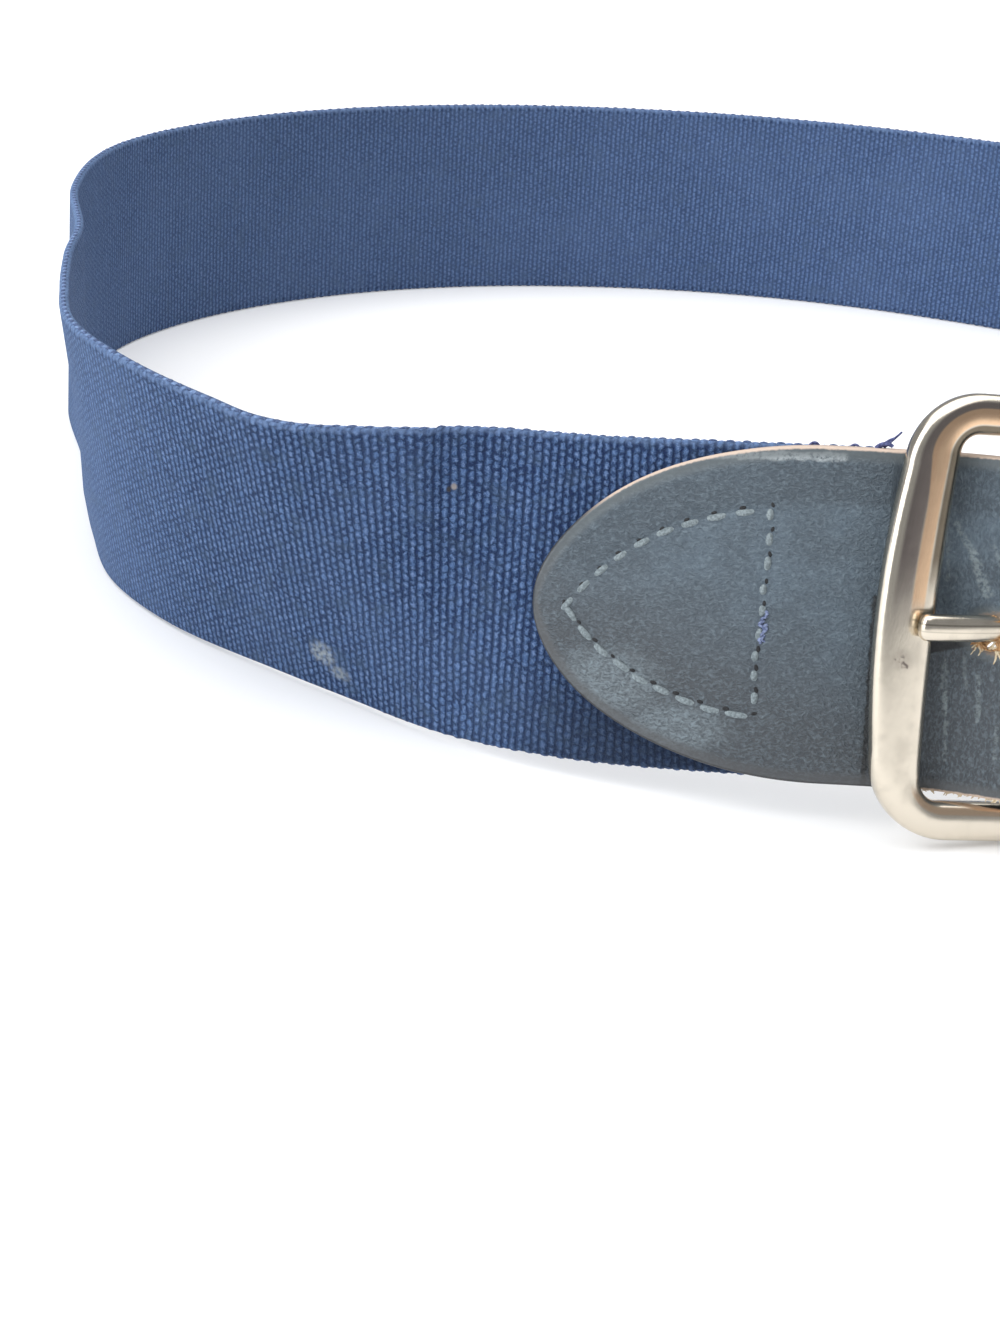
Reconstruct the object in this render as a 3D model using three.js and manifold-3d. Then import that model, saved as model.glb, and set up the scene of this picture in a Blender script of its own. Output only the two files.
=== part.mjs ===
// Elastic belt with a leather tab and a prong buckle, fastened and standing on its lower edge as a closed loop.
// Millimetres, +Z up, the buckle facing -Y, the floor at z = 0 and the middle of the loop on the Z axis.
import * as THREE from 'three';
import { mergeVertices } from 'three/addons/utils/BufferGeometryUtils.js';
import Module from 'manifold-3d';

const wasm = await Module();
wasm.setup();

// The belt and its layers
const BELT_WIDTH = 45;
const LOOP_RADIUS = 130; // of the plan of the loop, before the table below shapes it
const WEB_THICKNESS = 1.6;
const TAB_THICKNESS = 2.4;
const FOLD_THICKNESS = 2.0;
const LAYER_GAP = 0.3;
const RUN_OUT = 2; // of a layer's slope past the end of what it lies on
const LEATHER_BEVEL = 0.5;
const WEB_BEVEL = 0.35;
const STATION_STEP = 7; // between the sections along the web
const TWIST_STEP = 3; // the same, where the band twists beside the buckle
const TWIST_LENGTH = 90;
const LEATHER_STEP = 2.5; // between the sections along the leather
const STRIPS = 4; // across each face of a strap

// The buckle frame, its heel bar and its prong
const FRAME_HEIGHT = 59.2;
const FRAME_RISE = 0.2; // of the frame's middle over the strap's middle, across the strap
const FRAME_DEPTH = 3.8;
const FRONT_BAR = 6.4;
const SIDE_BAR = 4.75;
const HEEL_BAR = 4;
const BAR_SPACING = 24.8; // from the middle of the heel bar to the middle of the front bar
const FRAME_BOW = 1.4; // the front bar bulges this far
const FRAME_CORNER = 12;
const HEEL_CORNER = 4;
const WINDOW_CORNER = 5;
const WINDOW_HEEL_CORNER = 1;
const FRAME_BEVEL = 1.2;
const FRAME_SKEW = 2.1; // degrees that the frame has turned on the strap
const FRAME_CLEARANCE = 0.65; // between the tab and the back of the front bar
const HEEL_HEIGHT = 1.2; // of the heel bar's middle over the middle of the web
const PRONG_WIDTH = 3.7;
const PRONG_DROP = 0.5; // of the prong under the frame's middle
const PRONG_OVERRUN = 0.8; // of the prong's tip past the middle of the front bar
const PRONG_THICKNESS = 2.3;
const PRONG_BEVEL = 0.6;
const EYE_WALL = 1.5;
const EYE_CLEARANCE = 0.5;
const PRONG_SEAT_GAP = 0.25;

// The leather tab: a sewn lobe on the web, a row of holes and a free tip
const LOBE_LENGTH = 39;
const LOBE_BULGE = 0.54;
const TAB_SEWN_LENGTH = 44.4; // from the frame's outer edge to the tip of the sewn lobe
const TAB_TAIL = 102; // from the heel bar to the free tip
const TIP_LENGTH = 30;
const TIP_BULGE = 0.52;
const HOLE_PITCH = 20;
const HOLE_COUNT = 5;
const HOLE_DIAMETER = 4.2;
const WORN_HOLE_LENGTH = 9.2;
const WORN_HOLE_WIDTH = 5.2;
const WORN_HOLE_SHARE = 0.46; // of the way from the heel bar to the front bar

// The folded leather that holds the heel bar, and the keeper
const FOLD_LENGTH = 62;
const FOLD_SLACK = 1.35; // between the heel bar and the leather round it
const FOLD_RAMP = 14; // from the heel bar to where the leaves lie on the web
const SLOT_WIDTH = 5.2;
const SLOT_HALF_LENGTH = 7;
const WEB_END_AT_TAB = 1.5; // inside the frame's outer edge
const WEB_END_AT_FOLD = 8; // from the heel bar
const KEEPER_PLACE = 26; // from the heel bar to the keeper's middle
const KEEPER_WIDTH = 9;
const KEEPER_WALL = 1.8;

// The standing loop. around: degrees from the front towards -X. radius: share of LOOP_RADIUS.
// lean: degrees that the band's upper edge leans outwards. lift: share of the lift that the frame gives the band.
const HEEL_AROUND = -16.3;
const LOOP_ROWS = [
  { around: -25, radius: 1.066, lean: -10.5, lift: 0.95 },
  { around: -15, radius: 1.038, lean: -11.5, lift: 1.0 },
  { around: -5, radius: 1.013, lean: -11.5, lift: 1.0 },
  { around: 4, radius: 0.998, lean: -13.5, lift: 0.82 },
  { around: 12, radius: 0.977, lean: -12.6, lift: 0.5 },
  { around: 17, radius: 0.964, lean: -10.0, lift: 0.34 },
  { around: 21, radius: 0.949, lean: -3.8, lift: 0.22 },
  { around: 25.5, radius: 0.931, lean: 5.4, lift: 0.14 },
  { around: 30, radius: 0.915, lean: 12.0, lift: 0.1 },
  { around: 35, radius: 0.908, lean: 15.0, lift: 0.09 },
  { around: 40, radius: 0.907, lean: 13.8, lift: 0.08 },
  { around: 50, radius: 0.915, lean: 10.6, lift: 0.03 },
  { around: 60, radius: 0.914, lean: 8.8, lift: 0 },
  { around: 70, radius: 0.896, lean: 6.5, lift: 0 },
  { around: 80, radius: 0.896, lean: 4, lift: 0 },
  { around: 92, radius: 0.925, lean: 0.5, lift: 0 },
  { around: 106, radius: 1.03, lean: -1.5, lift: 0 },
  { around: 125, radius: 1.17, lean: -1.0, lift: 0 },
  { around: 150, radius: 1.25, lean: 0, lift: 0 },
  { around: 180, radius: 1.27, lean: 0, lift: 0 },
  { around: 210, radius: 1.275, lean: 0, lift: 0 },
  { around: 235, radius: 1.31, lean: 0, lift: 0 },
  { around: 260, radius: 1.265, lean: 0, lift: 0 },
  { around: 285, radius: 1.175, lean: -1.5, lift: 0.08 },
  { around: 305, radius: 1.115, lean: -4.5, lift: 0.4 },
  { around: 320, radius: 1.09, lean: -8, lift: 0.75 },
];
const LOOP_SAMPLES = 720;

const radians = THREE.MathUtils.degToRad;
const wrapTurn = (value, turn) => value - turn * Math.floor(value / turn);

// A smooth closed curve through one column of the table, with slopes from the neighbouring rows
function loopColumn(name) {
  const count = LOOP_ROWS.length;
  const row = (i) => LOOP_ROWS[wrapTurn(i, count)];
  const angle = (i) => row(i).around + 360 * Math.floor(i / count);
  const slope = (i) => (row(i + 1)[name] - row(i - 1)[name]) / (angle(i + 1) - angle(i - 1));
  return (around) => {
    const turned = LOOP_ROWS[0].around + wrapTurn(around - LOOP_ROWS[0].around, 360);
    const i = LOOP_ROWS.findLastIndex((one) => one.around <= turned);
    const span = angle(i + 1) - angle(i);
    const t = (turned - angle(i)) / span;
    const blend = t * t * (3 - 2 * t);
    const bend = slope(i) * t * (1 - t) ** 2 - slope(i + 1) * t * t * (1 - t);
    return THREE.MathUtils.lerp(row(i)[name], row(i + 1)[name], blend) + span * bend;
  };
}

const loopRadius = loopColumn('radius');
const loopLean = loopColumn('lean');
const loopLift = loopColumn('lift');

// The line that the web's lower edge follows, where frontLift is how high the buckle holds it
function lowerEdge(around, frontLift) {
  const turn = radians(around);
  const radius = LOOP_RADIUS * loopRadius(around);
  const cornerDrop = (WEB_THICKNESS / 2) * Math.abs(Math.sin(radians(loopLean(around))));
  const height = frontLift * loopLift(around) + cornerDrop;
  return new THREE.Vector3(-radius * Math.sin(turn), -radius * Math.cos(turn), height);
}

// Lays the loop out: a list of stations along the middle of the band, each with its three directions
function layLoop(frontLift) {
  const step = 360 / LOOP_SAMPLES;
  const stations = [];
  let length = 0;
  for (let i = 0; i <= LOOP_SAMPLES; i += 1) {
    const around = HEEL_AROUND + i * step;
    const ahead = lowerEdge(around + step / 2, frontLift);
    const along = ahead.sub(lowerEdge(around - step / 2, frontLift)).normalize();
    const out = new THREE.Vector3(0, 0, 1).cross(along).normalize();
    const up = along.clone().cross(out);
    const lean = radians(loopLean(around));
    const across = up.clone().multiplyScalar(Math.cos(lean)).addScaledVector(out, Math.sin(lean));
    const normal = out.clone().multiplyScalar(Math.cos(lean)).addScaledVector(up, -Math.sin(lean));
    const middle = lowerEdge(around, frontLift).addScaledVector(across, BELT_WIDTH / 2);
    if (i > 0) length += middle.distanceTo(stations[i - 1].middle);
    stations.push({ at: length, middle, across, normal });
  }
  return { stations, length };
}

// The station at a length along the loop, measured from the heel bar towards -X
function stationAt(loop, along) {
  const at = wrapTurn(along, loop.length);
  let low = 0;
  let high = loop.stations.length - 1;
  while (high - low > 1) {
    const half = (low + high) >> 1;
    if (loop.stations[half].at <= at) low = half;
    else high = half;
  }
  const before = loop.stations[low];
  const after = loop.stations[high];
  const share = (at - before.at) / (after.at - before.at);
  return {
    middle: before.middle.clone().lerp(after.middle, share),
    across: before.across.clone().lerp(after.across, share).normalize(),
    normal: before.normal.clone().lerp(after.normal, share).normalize(),
  };
}

// The place of a point given along the strap, across it and out from the middle of the web
function placeOn(loop, along, across, out) {
  const station = stationAt(loop, along);
  return station.middle.addScaledVector(station.across, across).addScaledVector(station.normal, out);
}

// A geometry with its shared vertices merged and only positions left
function bare(geometry) {
  const plain = geometry.index ? geometry.toNonIndexed() : geometry.clone();
  for (const name of Object.keys(plain.attributes)) if (name !== 'position') plain.deleteAttribute(name);
  return mergeVertices(plain, 1e-4);
}

// Bends a solid drawn flat, x along the strap, y across it and z out of it, onto the standing loop
function bendOnto(loop, flat) {
  const geometry = bare(flat);
  const position = geometry.attributes.position;
  for (let i = 0; i < position.count; i += 1) {
    const point = placeOn(loop, position.getX(i), position.getY(i), position.getZ(i));
    position.setXYZ(i, point.x, point.y, point.z);
  }
  const index = Array.from(geometry.index.array);
  for (let i = 0; i < index.length; i += 3) [index[i + 1], index[i + 2]] = [index[i + 2], index[i + 1]];
  geometry.setIndex(index);
  return geometry;
}

// A closed body through rings of equal length, with its ends filled
function loft(rings) {
  const around = rings[0].length;
  const positions = rings.flat().flatMap((point) => point.toArray());
  const index = [];
  for (let ring = 0; ring + 1 < rings.length; ring += 1) {
    for (let i = 0; i < around; i += 1) {
      const a = ring * around + i;
      const b = ring * around + ((i + 1) % around);
      index.push(a, b, b + around, a, b + around, a + around);
    }
  }
  const last = (rings.length - 1) * around;
  for (let i = 1; i + 1 < around; i += 1) {
    index.push(0, i + 1, i);
    index.push(last, last + i, last + i + 1);
  }
  const geometry = new THREE.BufferGeometry();
  geometry.setAttribute('position', new THREE.Float32BufferAttribute(positions, 3));
  geometry.setIndex(index);
  return geometry;
}

// Evenly spaced values from first to last, about step apart
function spaced(first, last, step) {
  const count = Math.max(1, Math.round(Math.abs(last - first) / step));
  return Array.from({ length: count + 1 }, (_, i) => first + ((last - first) * i) / count);
}

// One section of a flat strap: its middle and its normal in the plane of length and thickness
function strapSection({ along, out, normalAlong = 0, normalOut = 1, halfWidth, thickness, bevel }) {
  const edge = Math.min(bevel, halfWidth * 0.4, thickness * 0.4);
  const half = thickness / 2;
  const face = spaced(halfWidth - edge, edge - halfWidth, (2 * (halfWidth - edge)) / STRIPS);
  const corners = [
    [halfWidth, -half + edge],
    [halfWidth, half - edge],
    ...face.map((across) => [across, half]),
    [-halfWidth, half - edge],
    [-halfWidth, -half + edge],
    ...face.map((across) => [-across, -half]),
  ];
  return corners.map(
    ([across, high]) => new THREE.Vector3(along + normalAlong * high, across, out + normalOut * high),
  );
}

// Height eased from one level to the next through rows of { at, level }
function easedLevel(rows, at) {
  const next = rows.findIndex((row) => row.at > at);
  if (next === 0) return rows[0].level;
  if (next < 0) return rows.at(-1).level;
  const before = rows[next - 1];
  const share = THREE.MathUtils.smoothstep(at, before.at, rows[next].at);
  return THREE.MathUtils.lerp(before.level, rows[next].level, share);
}

// Half the width of a strap end, from the distance to its tip: a rounded lobe
function lobeHalfWidth(fromTip, length, bulge) {
  if (fromTip >= length) return BELT_WIDTH / 2;
  return (BELT_WIDTH / 2) * (1 - (1 - fromTip / length) ** 2) ** bulge;
}

// Section places that close up towards a strap's tip
function tipPlaces(length) {
  return [0.004, 0.02, 0.05, 0.1, 0.17, 0.26, 0.37, 0.5, 0.64, 0.8].map((share) => share * length);
}

function toManifold(geometry) {
  const plain = bare(geometry);
  return new wasm.Manifold(
    new wasm.Mesh({
      numProp: 3,
      vertProperties: new Float32Array(plain.attributes.position.array),
      triVerts: new Uint32Array(plain.index.array),
    }),
  );
}

function fromManifold(manifold) {
  const mesh = manifold.getMesh();
  const geometry = new THREE.BufferGeometry();
  geometry.setAttribute('position', new THREE.BufferAttribute(new Float32Array(mesh.vertProperties), 3));
  geometry.setIndex(Array.from(mesh.triVerts));
  return geometry;
}

function cutAway(geometry, cutters) {
  return fromManifold(cutters.reduce((body, cutter) => body.subtract(toManifold(cutter)), toManifold(geometry)));
}

// Heights of the layers over the middle of the web, and places along the strap from the heel bar
const ON_WEB = WEB_THICKNESS / 2 + LAYER_GAP;
const ON_FOLD = ON_WEB + FOLD_THICKNESS + LAYER_GAP;
const FOLD_RADIUS = HEEL_BAR / 2 + FOLD_SLACK + FOLD_THICKNESS / 2;
const OVER_HEEL = HEEL_HEIGHT + FOLD_RADIUS + FOLD_THICKNESS / 2 + LAYER_GAP;
const BACK_OF_FRAME = ON_WEB + TAB_THICKNESS + FRAME_CLEARANCE;
const FRAME_SLOPE = (BACK_OF_FRAME + FRAME_DEPTH / 2 - HEEL_HEIGHT) / (BAR_SPACING - FRONT_BAR / 2);
const FRONT_BAR_HEIGHT = HEEL_HEIGHT + FRAME_SLOPE * BAR_SPACING;
const FRAME_EDGE = BAR_SPACING + FRONT_BAR / 2 + FRAME_BOW / 2;
const LOBE_TIP = FRAME_EDGE + TAB_SEWN_LENGTH;
const WORN_HOLE = WORN_HOLE_SHARE * BAR_SPACING;

// The elastic web, from under the tab all the way round to between the leaves of the fold
function elasticWeb(loop) {
  const start = FRAME_EDGE - WEB_END_AT_TAB;
  const end = loop.length - WEB_END_AT_FOLD;
  const section = { out: 0, halfWidth: BELT_WIDTH / 2, thickness: WEB_THICKNESS, bevel: WEB_BEVEL };
  const places = [
    ...spaced(start, start + TWIST_LENGTH, TWIST_STEP),
    ...spaced(start + TWIST_LENGTH, end, STATION_STEP).slice(1),
  ];
  return bendOnto(loop, loft(places.map((along) => strapSection({ along, ...section }))));
}

// The level of the tab's inner face along the strap: flat on the web, over the fold and heel bar, under the front bar
function tabLevel(along) {
  const rows = [
    { at: -FOLD_LENGTH - FOLD_RAMP, level: ON_WEB },
    { at: -FOLD_LENGTH - RUN_OUT, level: ON_FOLD },
    { at: -FOLD_RAMP - RUN_OUT, level: ON_FOLD },
    { at: -HEEL_BAR * 0.75, level: OVER_HEEL },
    { at: HEEL_BAR, level: OVER_HEEL },
    { at: BAR_SPACING - FRONT_BAR / 2 - RUN_OUT / 2, level: ON_WEB },
  ];
  return easedLevel(rows, along);
}

// A hole through the tab, drawn flat and centred on the strap
function tabHole(along, length, width) {
  const shape = new THREE.Shape();
  const reach = (length - width) / 2;
  shape.absarc(reach, 0, width / 2, -Math.PI / 2, Math.PI / 2);
  shape.absarc(-reach, 0, width / 2, Math.PI / 2, (3 * Math.PI) / 2);
  const depth = 4 * OVER_HEEL;
  const hole = new THREE.ExtrudeGeometry(shape, { depth, bevelEnabled: false, curveSegments: 8 });
  return hole.translate(along, 0, -depth / 2);
}

function leatherTab(loop) {
  const tipPlace = -TAB_TAIL;
  const places = [
    ...tipPlaces(TIP_LENGTH).map((distance) => tipPlace + distance),
    ...spaced(tipPlace + TIP_LENGTH, LOBE_TIP - LOBE_LENGTH, LEATHER_STEP),
    ...tipPlaces(LOBE_LENGTH).reverse().map((distance) => LOBE_TIP - distance),
  ];
  const rings = places.map((along) => {
    const halfWidth = Math.min(
      lobeHalfWidth(along - tipPlace, TIP_LENGTH, TIP_BULGE),
      lobeHalfWidth(LOBE_TIP - along, LOBE_LENGTH, LOBE_BULGE),
    );
    const out = tabLevel(along) + TAB_THICKNESS / 2;
    return strapSection({ along, out, halfWidth, thickness: TAB_THICKNESS, bevel: LEATHER_BEVEL });
  });
  const holes = [tabHole(WORN_HOLE, WORN_HOLE_LENGTH, WORN_HOLE_WIDTH)];
  for (let i = 1; i < HOLE_COUNT; i += 1) {
    holes.push(tabHole(WORN_HOLE - i * HOLE_PITCH, HOLE_DIAMETER, HOLE_DIAMETER - 0.01));
  }
  return bendOnto(loop, cutAway(loft(rings), holes));
}

// The leather folded round the heel bar: an outer leaf, the fold, an inner leaf, with a slot for the prong
function foldedLeather(loop) {
  const leafLevel = ON_WEB + FOLD_THICKNESS / 2;
  const outerRows = [
    { at: -FOLD_RAMP, level: leafLevel },
    { at: 0, level: HEEL_HEIGHT + FOLD_RADIUS },
  ];
  const innerRows = [
    { at: -FOLD_RAMP, level: -leafLevel },
    { at: 0, level: HEEL_HEIGHT - FOLD_RADIUS },
  ];
  const leafPlaces = [
    ...tipPlaces(LOBE_LENGTH).map((distance) => distance - FOLD_LENGTH),
    ...spaced(LOBE_LENGTH - FOLD_LENGTH, 0, LEATHER_STEP),
  ];
  const leaf = (rows, facing) => leafPlaces.map((along) => ({
    along,
    out: easedLevel(rows, along),
    normalOut: facing,
    halfWidth: lobeHalfWidth(along + FOLD_LENGTH, LOBE_LENGTH, LOBE_BULGE),
  }));
  const arc = spaced(90, -90, 15).slice(1, -1).map((degrees) => ({
    along: FOLD_RADIUS * Math.cos(radians(degrees)),
    out: HEEL_HEIGHT + FOLD_RADIUS * Math.sin(radians(degrees)),
    normalAlong: Math.cos(radians(degrees)),
    normalOut: Math.sin(radians(degrees)),
    halfWidth: BELT_WIDTH / 2,
  }));
  const path = [...leaf(outerRows, 1), ...arc, ...leaf(innerRows, -1).reverse()];
  const rings = path.map((one) => strapSection({ thickness: FOLD_THICKNESS, bevel: LEATHER_BEVEL, ...one }));
  const slot = new THREE.BoxGeometry(2 * SLOT_HALF_LENGTH, SLOT_WIDTH, 8 * FOLD_RADIUS);
  return bendOnto(loop, cutAway(loft(rings), [slot]));
}

// The keeper: a leather loop round the fold, the web and the tab
function keeperLoop(loop) {
  const innerLow = -ON_FOLD;
  const innerHigh = ON_FOLD + TAB_THICKNESS + LAYER_GAP;
  const innerHalf = BELT_WIDTH / 2 + LAYER_GAP;
  const box = (path, grow, corner) => {
    const x = innerHalf + grow;
    const low = innerLow - grow;
    const high = innerHigh + grow;
    path.moveTo(-x + corner, low);
    path.lineTo(x - corner, low);
    path.quadraticCurveTo(x, low, x, low + corner);
    path.lineTo(x, high - corner);
    path.quadraticCurveTo(x, high, x - corner, high);
    path.lineTo(-x + corner, high);
    path.quadraticCurveTo(-x, high, -x, high - corner);
    path.lineTo(-x, low + corner);
    path.quadraticCurveTo(-x, low, -x + corner, low);
    return path;
  };
  const shape = box(new THREE.Shape(), KEEPER_WALL, KEEPER_WALL + LAYER_GAP);
  shape.holes.push(box(new THREE.Path(), 0, LAYER_GAP));
  const ring = new THREE.ExtrudeGeometry(shape, {
    depth: KEEPER_WIDTH - LEATHER_BEVEL,
    steps: 3,
    bevelThickness: LEATHER_BEVEL / 2,
    bevelSize: LEATHER_BEVEL / 2,
    bevelOffset: -LEATHER_BEVEL / 2,
    bevelSegments: 1,
    curveSegments: 3,
  });
  ring.translate(0, 0, -KEEPER_WIDTH / 2).applyMatrix4(new THREE.Matrix4().set(
    0, 0, 1, -KEEPER_PLACE,
    1, 0, 0, 0,
    0, 1, 0, 0,
    0, 0, 0, 1,
  ));
  return bendOnto(loop, ring);
}

// Where the frame lies: x from the front bar to the heel bar, y across the strap, z outwards, with its
// origin on the heel bar
function frameMatrix(loop) {
  const heel = placeOn(loop, 0, FRAME_RISE, HEEL_HEIGHT);
  const front = placeOn(loop, BAR_SPACING, FRAME_RISE, FRONT_BAR_HEIGHT);
  const x = heel.clone().sub(front).normalize();
  const upward = stationAt(loop, BAR_SPACING / 2).across;
  const z = x.clone().cross(upward).normalize();
  const y = z.clone().cross(x);
  const place = new THREE.Matrix4().makeBasis(x, y, z).setPosition(heel);
  const skew = new THREE.Matrix4().makeRotationZ(-radians(FRAME_SKEW));
  return place.multiply(skew);
}

// A rounded outline from x = left to x = right whose left side bulges by the bow
function barOutline(path, { left, right, half, leftCorner, rightCorner, bow }) {
  path.moveTo(right - rightCorner, -half);
  path.absarc(right - rightCorner, rightCorner - half, rightCorner, -Math.PI / 2, 0);
  path.absarc(right - rightCorner, half - rightCorner, rightCorner, 0, Math.PI / 2);
  path.absarc(left + leftCorner, half - leftCorner, leftCorner, Math.PI / 2, Math.PI);
  path.quadraticCurveTo(left - 2 * bow, 0, left, leftCorner - half);
  path.absarc(left + leftCorner, leftCorner - half, leftCorner, Math.PI, (3 * Math.PI) / 2);
  return path;
}

function buckleFrame(matrix) {
  const left = -BAR_SPACING - FRONT_BAR / 2;
  const outline = barOutline(new THREE.Shape(), {
    left,
    right: HEEL_BAR / 2,
    half: FRAME_HEIGHT / 2,
    leftCorner: FRAME_CORNER,
    rightCorner: HEEL_CORNER,
    bow: FRAME_BOW,
  });
  outline.holes.push(barOutline(new THREE.Path(), {
    left: left + FRONT_BAR,
    right: -HEEL_BAR / 2,
    half: FRAME_HEIGHT / 2 - SIDE_BAR,
    leftCorner: WINDOW_CORNER,
    rightCorner: WINDOW_HEEL_CORNER,
    bow: FRAME_BOW / 2,
  }));
  const frame = new THREE.ExtrudeGeometry(outline, {
    depth: FRAME_DEPTH - 2 * FRAME_BEVEL,
    bevelThickness: FRAME_BEVEL,
    bevelSize: FRAME_BEVEL,
    bevelOffset: -FRAME_BEVEL,
    bevelSegments: 3,
    curveSegments: 7,
  });
  return bare(frame.translate(0, 0, FRAME_BEVEL - FRAME_DEPTH / 2).applyMatrix4(matrix));
}

// The prong: an eye round the heel bar and a shaft through the worn hole onto the front bar, drawn from its side
function prong(matrix) {
  const seat = FRAME_DEPTH / 2 + PRONG_SEAT_GAP + PRONG_THICKNESS / 2;
  const eyeInner = HEEL_BAR / 2 + EYE_CLEARANCE;
  const eyeOuter = eyeInner + EYE_WALL;
  const spine = new THREE.SplineCurve([
    new THREE.Vector2(-eyeInner - EYE_WALL / 2, 0),
    new THREE.Vector2(-0.33 * BAR_SPACING, 0.16 * seat),
    new THREE.Vector2(-WORN_HOLE, 0.42 * seat),
    new THREE.Vector2(-0.71 * BAR_SPACING, 0.84 * seat),
    new THREE.Vector2(-0.87 * BAR_SPACING, seat),
    new THREE.Vector2(-BAR_SPACING - PRONG_OVERRUN, seat),
  ]);
  const steps = 18;
  const side = (offset) => Array.from({ length: steps + 1 }, (_, i) => {
    const tangent = spine.getTangent(i / steps);
    const normal = new THREE.Vector2(-tangent.y, tangent.x);
    return spine.getPoint(i / steps).addScaledVector(normal, offset);
  });
  const lower = side(PRONG_THICKNESS / 2);
  const upper = side(-PRONG_THICKNESS / 2);
  const meeting = Math.asin(PRONG_THICKNESS / 2 / eyeOuter);
  const outline = new THREE.Shape();
  outline.absarc(0, 0, eyeOuter, Math.PI + meeting, Math.PI - meeting + 2 * Math.PI);
  for (const point of upper.slice(1)) outline.lineTo(point.x, point.y);
  for (const point of lower.slice(1).reverse()) outline.lineTo(point.x, point.y);
  outline.holes.push(new THREE.Path().absarc(0, 0, eyeInner, 0, 2 * Math.PI, true));
  const geometry = new THREE.ExtrudeGeometry(outline, {
    depth: PRONG_WIDTH - 2 * PRONG_BEVEL,
    bevelThickness: PRONG_BEVEL,
    bevelSize: PRONG_BEVEL,
    bevelOffset: -PRONG_BEVEL,
    bevelSegments: 2,
    curveSegments: 12,
  });
  geometry.translate(0, 0, PRONG_BEVEL - PRONG_WIDTH / 2).rotateX(Math.PI / 2).translate(0, -PRONG_DROP, 0);
  return bare(geometry.applyMatrix4(matrix));
}

function lowestPoint(geometry) {
  geometry.computeBoundingBox();
  return geometry.boundingBox.min.z;
}

// The buckle lifts the front of the band until the frame just stands on the floor
function settledLoop() {
  let frontLift = (FRAME_HEIGHT - BELT_WIDTH) / 2;
  let loop = layLoop(frontLift);
  for (let pass = 0; pass < 4; pass += 1) {
    frontLift -= lowestPoint(buckleFrame(frameMatrix(loop)));
    loop = layLoop(frontLift);
  }
  return loop;
}

const webCloth = new THREE.MeshStandardMaterial({ color: 0x475c81, roughness: 0.92, metalness: 0 });
const tabLeather = new THREE.MeshStandardMaterial({ color: 0x66737f, roughness: 0.6, metalness: 0 });
const nickel = new THREE.MeshStandardMaterial({ color: 0xe5dac8, roughness: 0.16, metalness: 1 });

function piece(name, geometry, material) {
  const mesh = new THREE.Mesh(geometry, material);
  mesh.name = name;
  geometry.computeVertexNormals();
  return mesh;
}

const loop = settledLoop();
const onFrame = frameMatrix(loop);
const belt = new THREE.Group();
belt.add(
  piece('elastic_web', elasticWeb(loop), webCloth),
  piece('leather_tab', leatherTab(loop), tabLeather),
  piece('buckle_fold', foldedLeather(loop), tabLeather),
  piece('keeper_loop', keeperLoop(loop), tabLeather),
  piece('buckle_frame', buckleFrame(onFrame), nickel),
  piece('prong', prong(onFrame), nickel),
);
const reach = new THREE.Box3().setFromObject(belt);
const middle = reach.getCenter(new THREE.Vector3());
belt.position.set(-middle.x, -middle.y, 0);

export default belt;
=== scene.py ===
"""A fastened elastic belt with a leather tab and a prong buckle, standing on its lower edge.

Each piece is drawn flat in millimetres, x along the strap from the heel bar, y across it and z out of it.
It is then bent onto the standing loop, in metres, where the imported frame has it.
"""

import logging
import math
import random
from collections.abc import Callable, Sequence
from dataclasses import dataclass, field
from enum import Enum

import bmesh
import bpy
import numpy as np
from mathutils import Matrix, Vector


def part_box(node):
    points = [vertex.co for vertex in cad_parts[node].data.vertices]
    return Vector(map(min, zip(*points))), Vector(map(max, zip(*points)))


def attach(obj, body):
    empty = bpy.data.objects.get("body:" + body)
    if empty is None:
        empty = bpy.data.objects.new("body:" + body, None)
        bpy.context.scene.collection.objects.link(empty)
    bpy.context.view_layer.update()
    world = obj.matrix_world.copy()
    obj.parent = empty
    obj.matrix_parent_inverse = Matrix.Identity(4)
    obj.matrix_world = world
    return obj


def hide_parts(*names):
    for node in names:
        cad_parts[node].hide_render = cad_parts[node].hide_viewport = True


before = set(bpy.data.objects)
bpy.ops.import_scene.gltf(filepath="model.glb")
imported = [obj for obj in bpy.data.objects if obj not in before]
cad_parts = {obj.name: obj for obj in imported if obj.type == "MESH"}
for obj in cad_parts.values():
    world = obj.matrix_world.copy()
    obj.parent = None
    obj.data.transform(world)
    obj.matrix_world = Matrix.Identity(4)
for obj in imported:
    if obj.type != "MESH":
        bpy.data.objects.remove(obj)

LOG = logging.getLogger("elastic_belt")
MM = 0.001
PLACE = "strap_place"
RIM = "rim_distance"

# Short names for types
Pair = tuple[float, float]
Triple = tuple[float, float, float]
Lay = Callable[[np.ndarray, np.ndarray], np.ndarray]
Material = bpy.types.Material
Mesh = bmesh.types.BMesh
Socket = bpy.types.NodeSocket


class SeamFace(Enum):
    """The side of the sewn layers that a seam is seen from."""

    OUTER = 1
    INNER = -1


@dataclass(frozen=True)
class LoopRow:
    """One direction of the standing loop.

    Args:
        around: Degrees from the front towards -X.
        radius: Share of the loop's radius.
        lean: Degrees that the band's upper edge leans outwards.
        lift: Share of the lift that the buckle gives the band.
    """

    around: float
    radius: float
    lean: float
    lift: float


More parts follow.
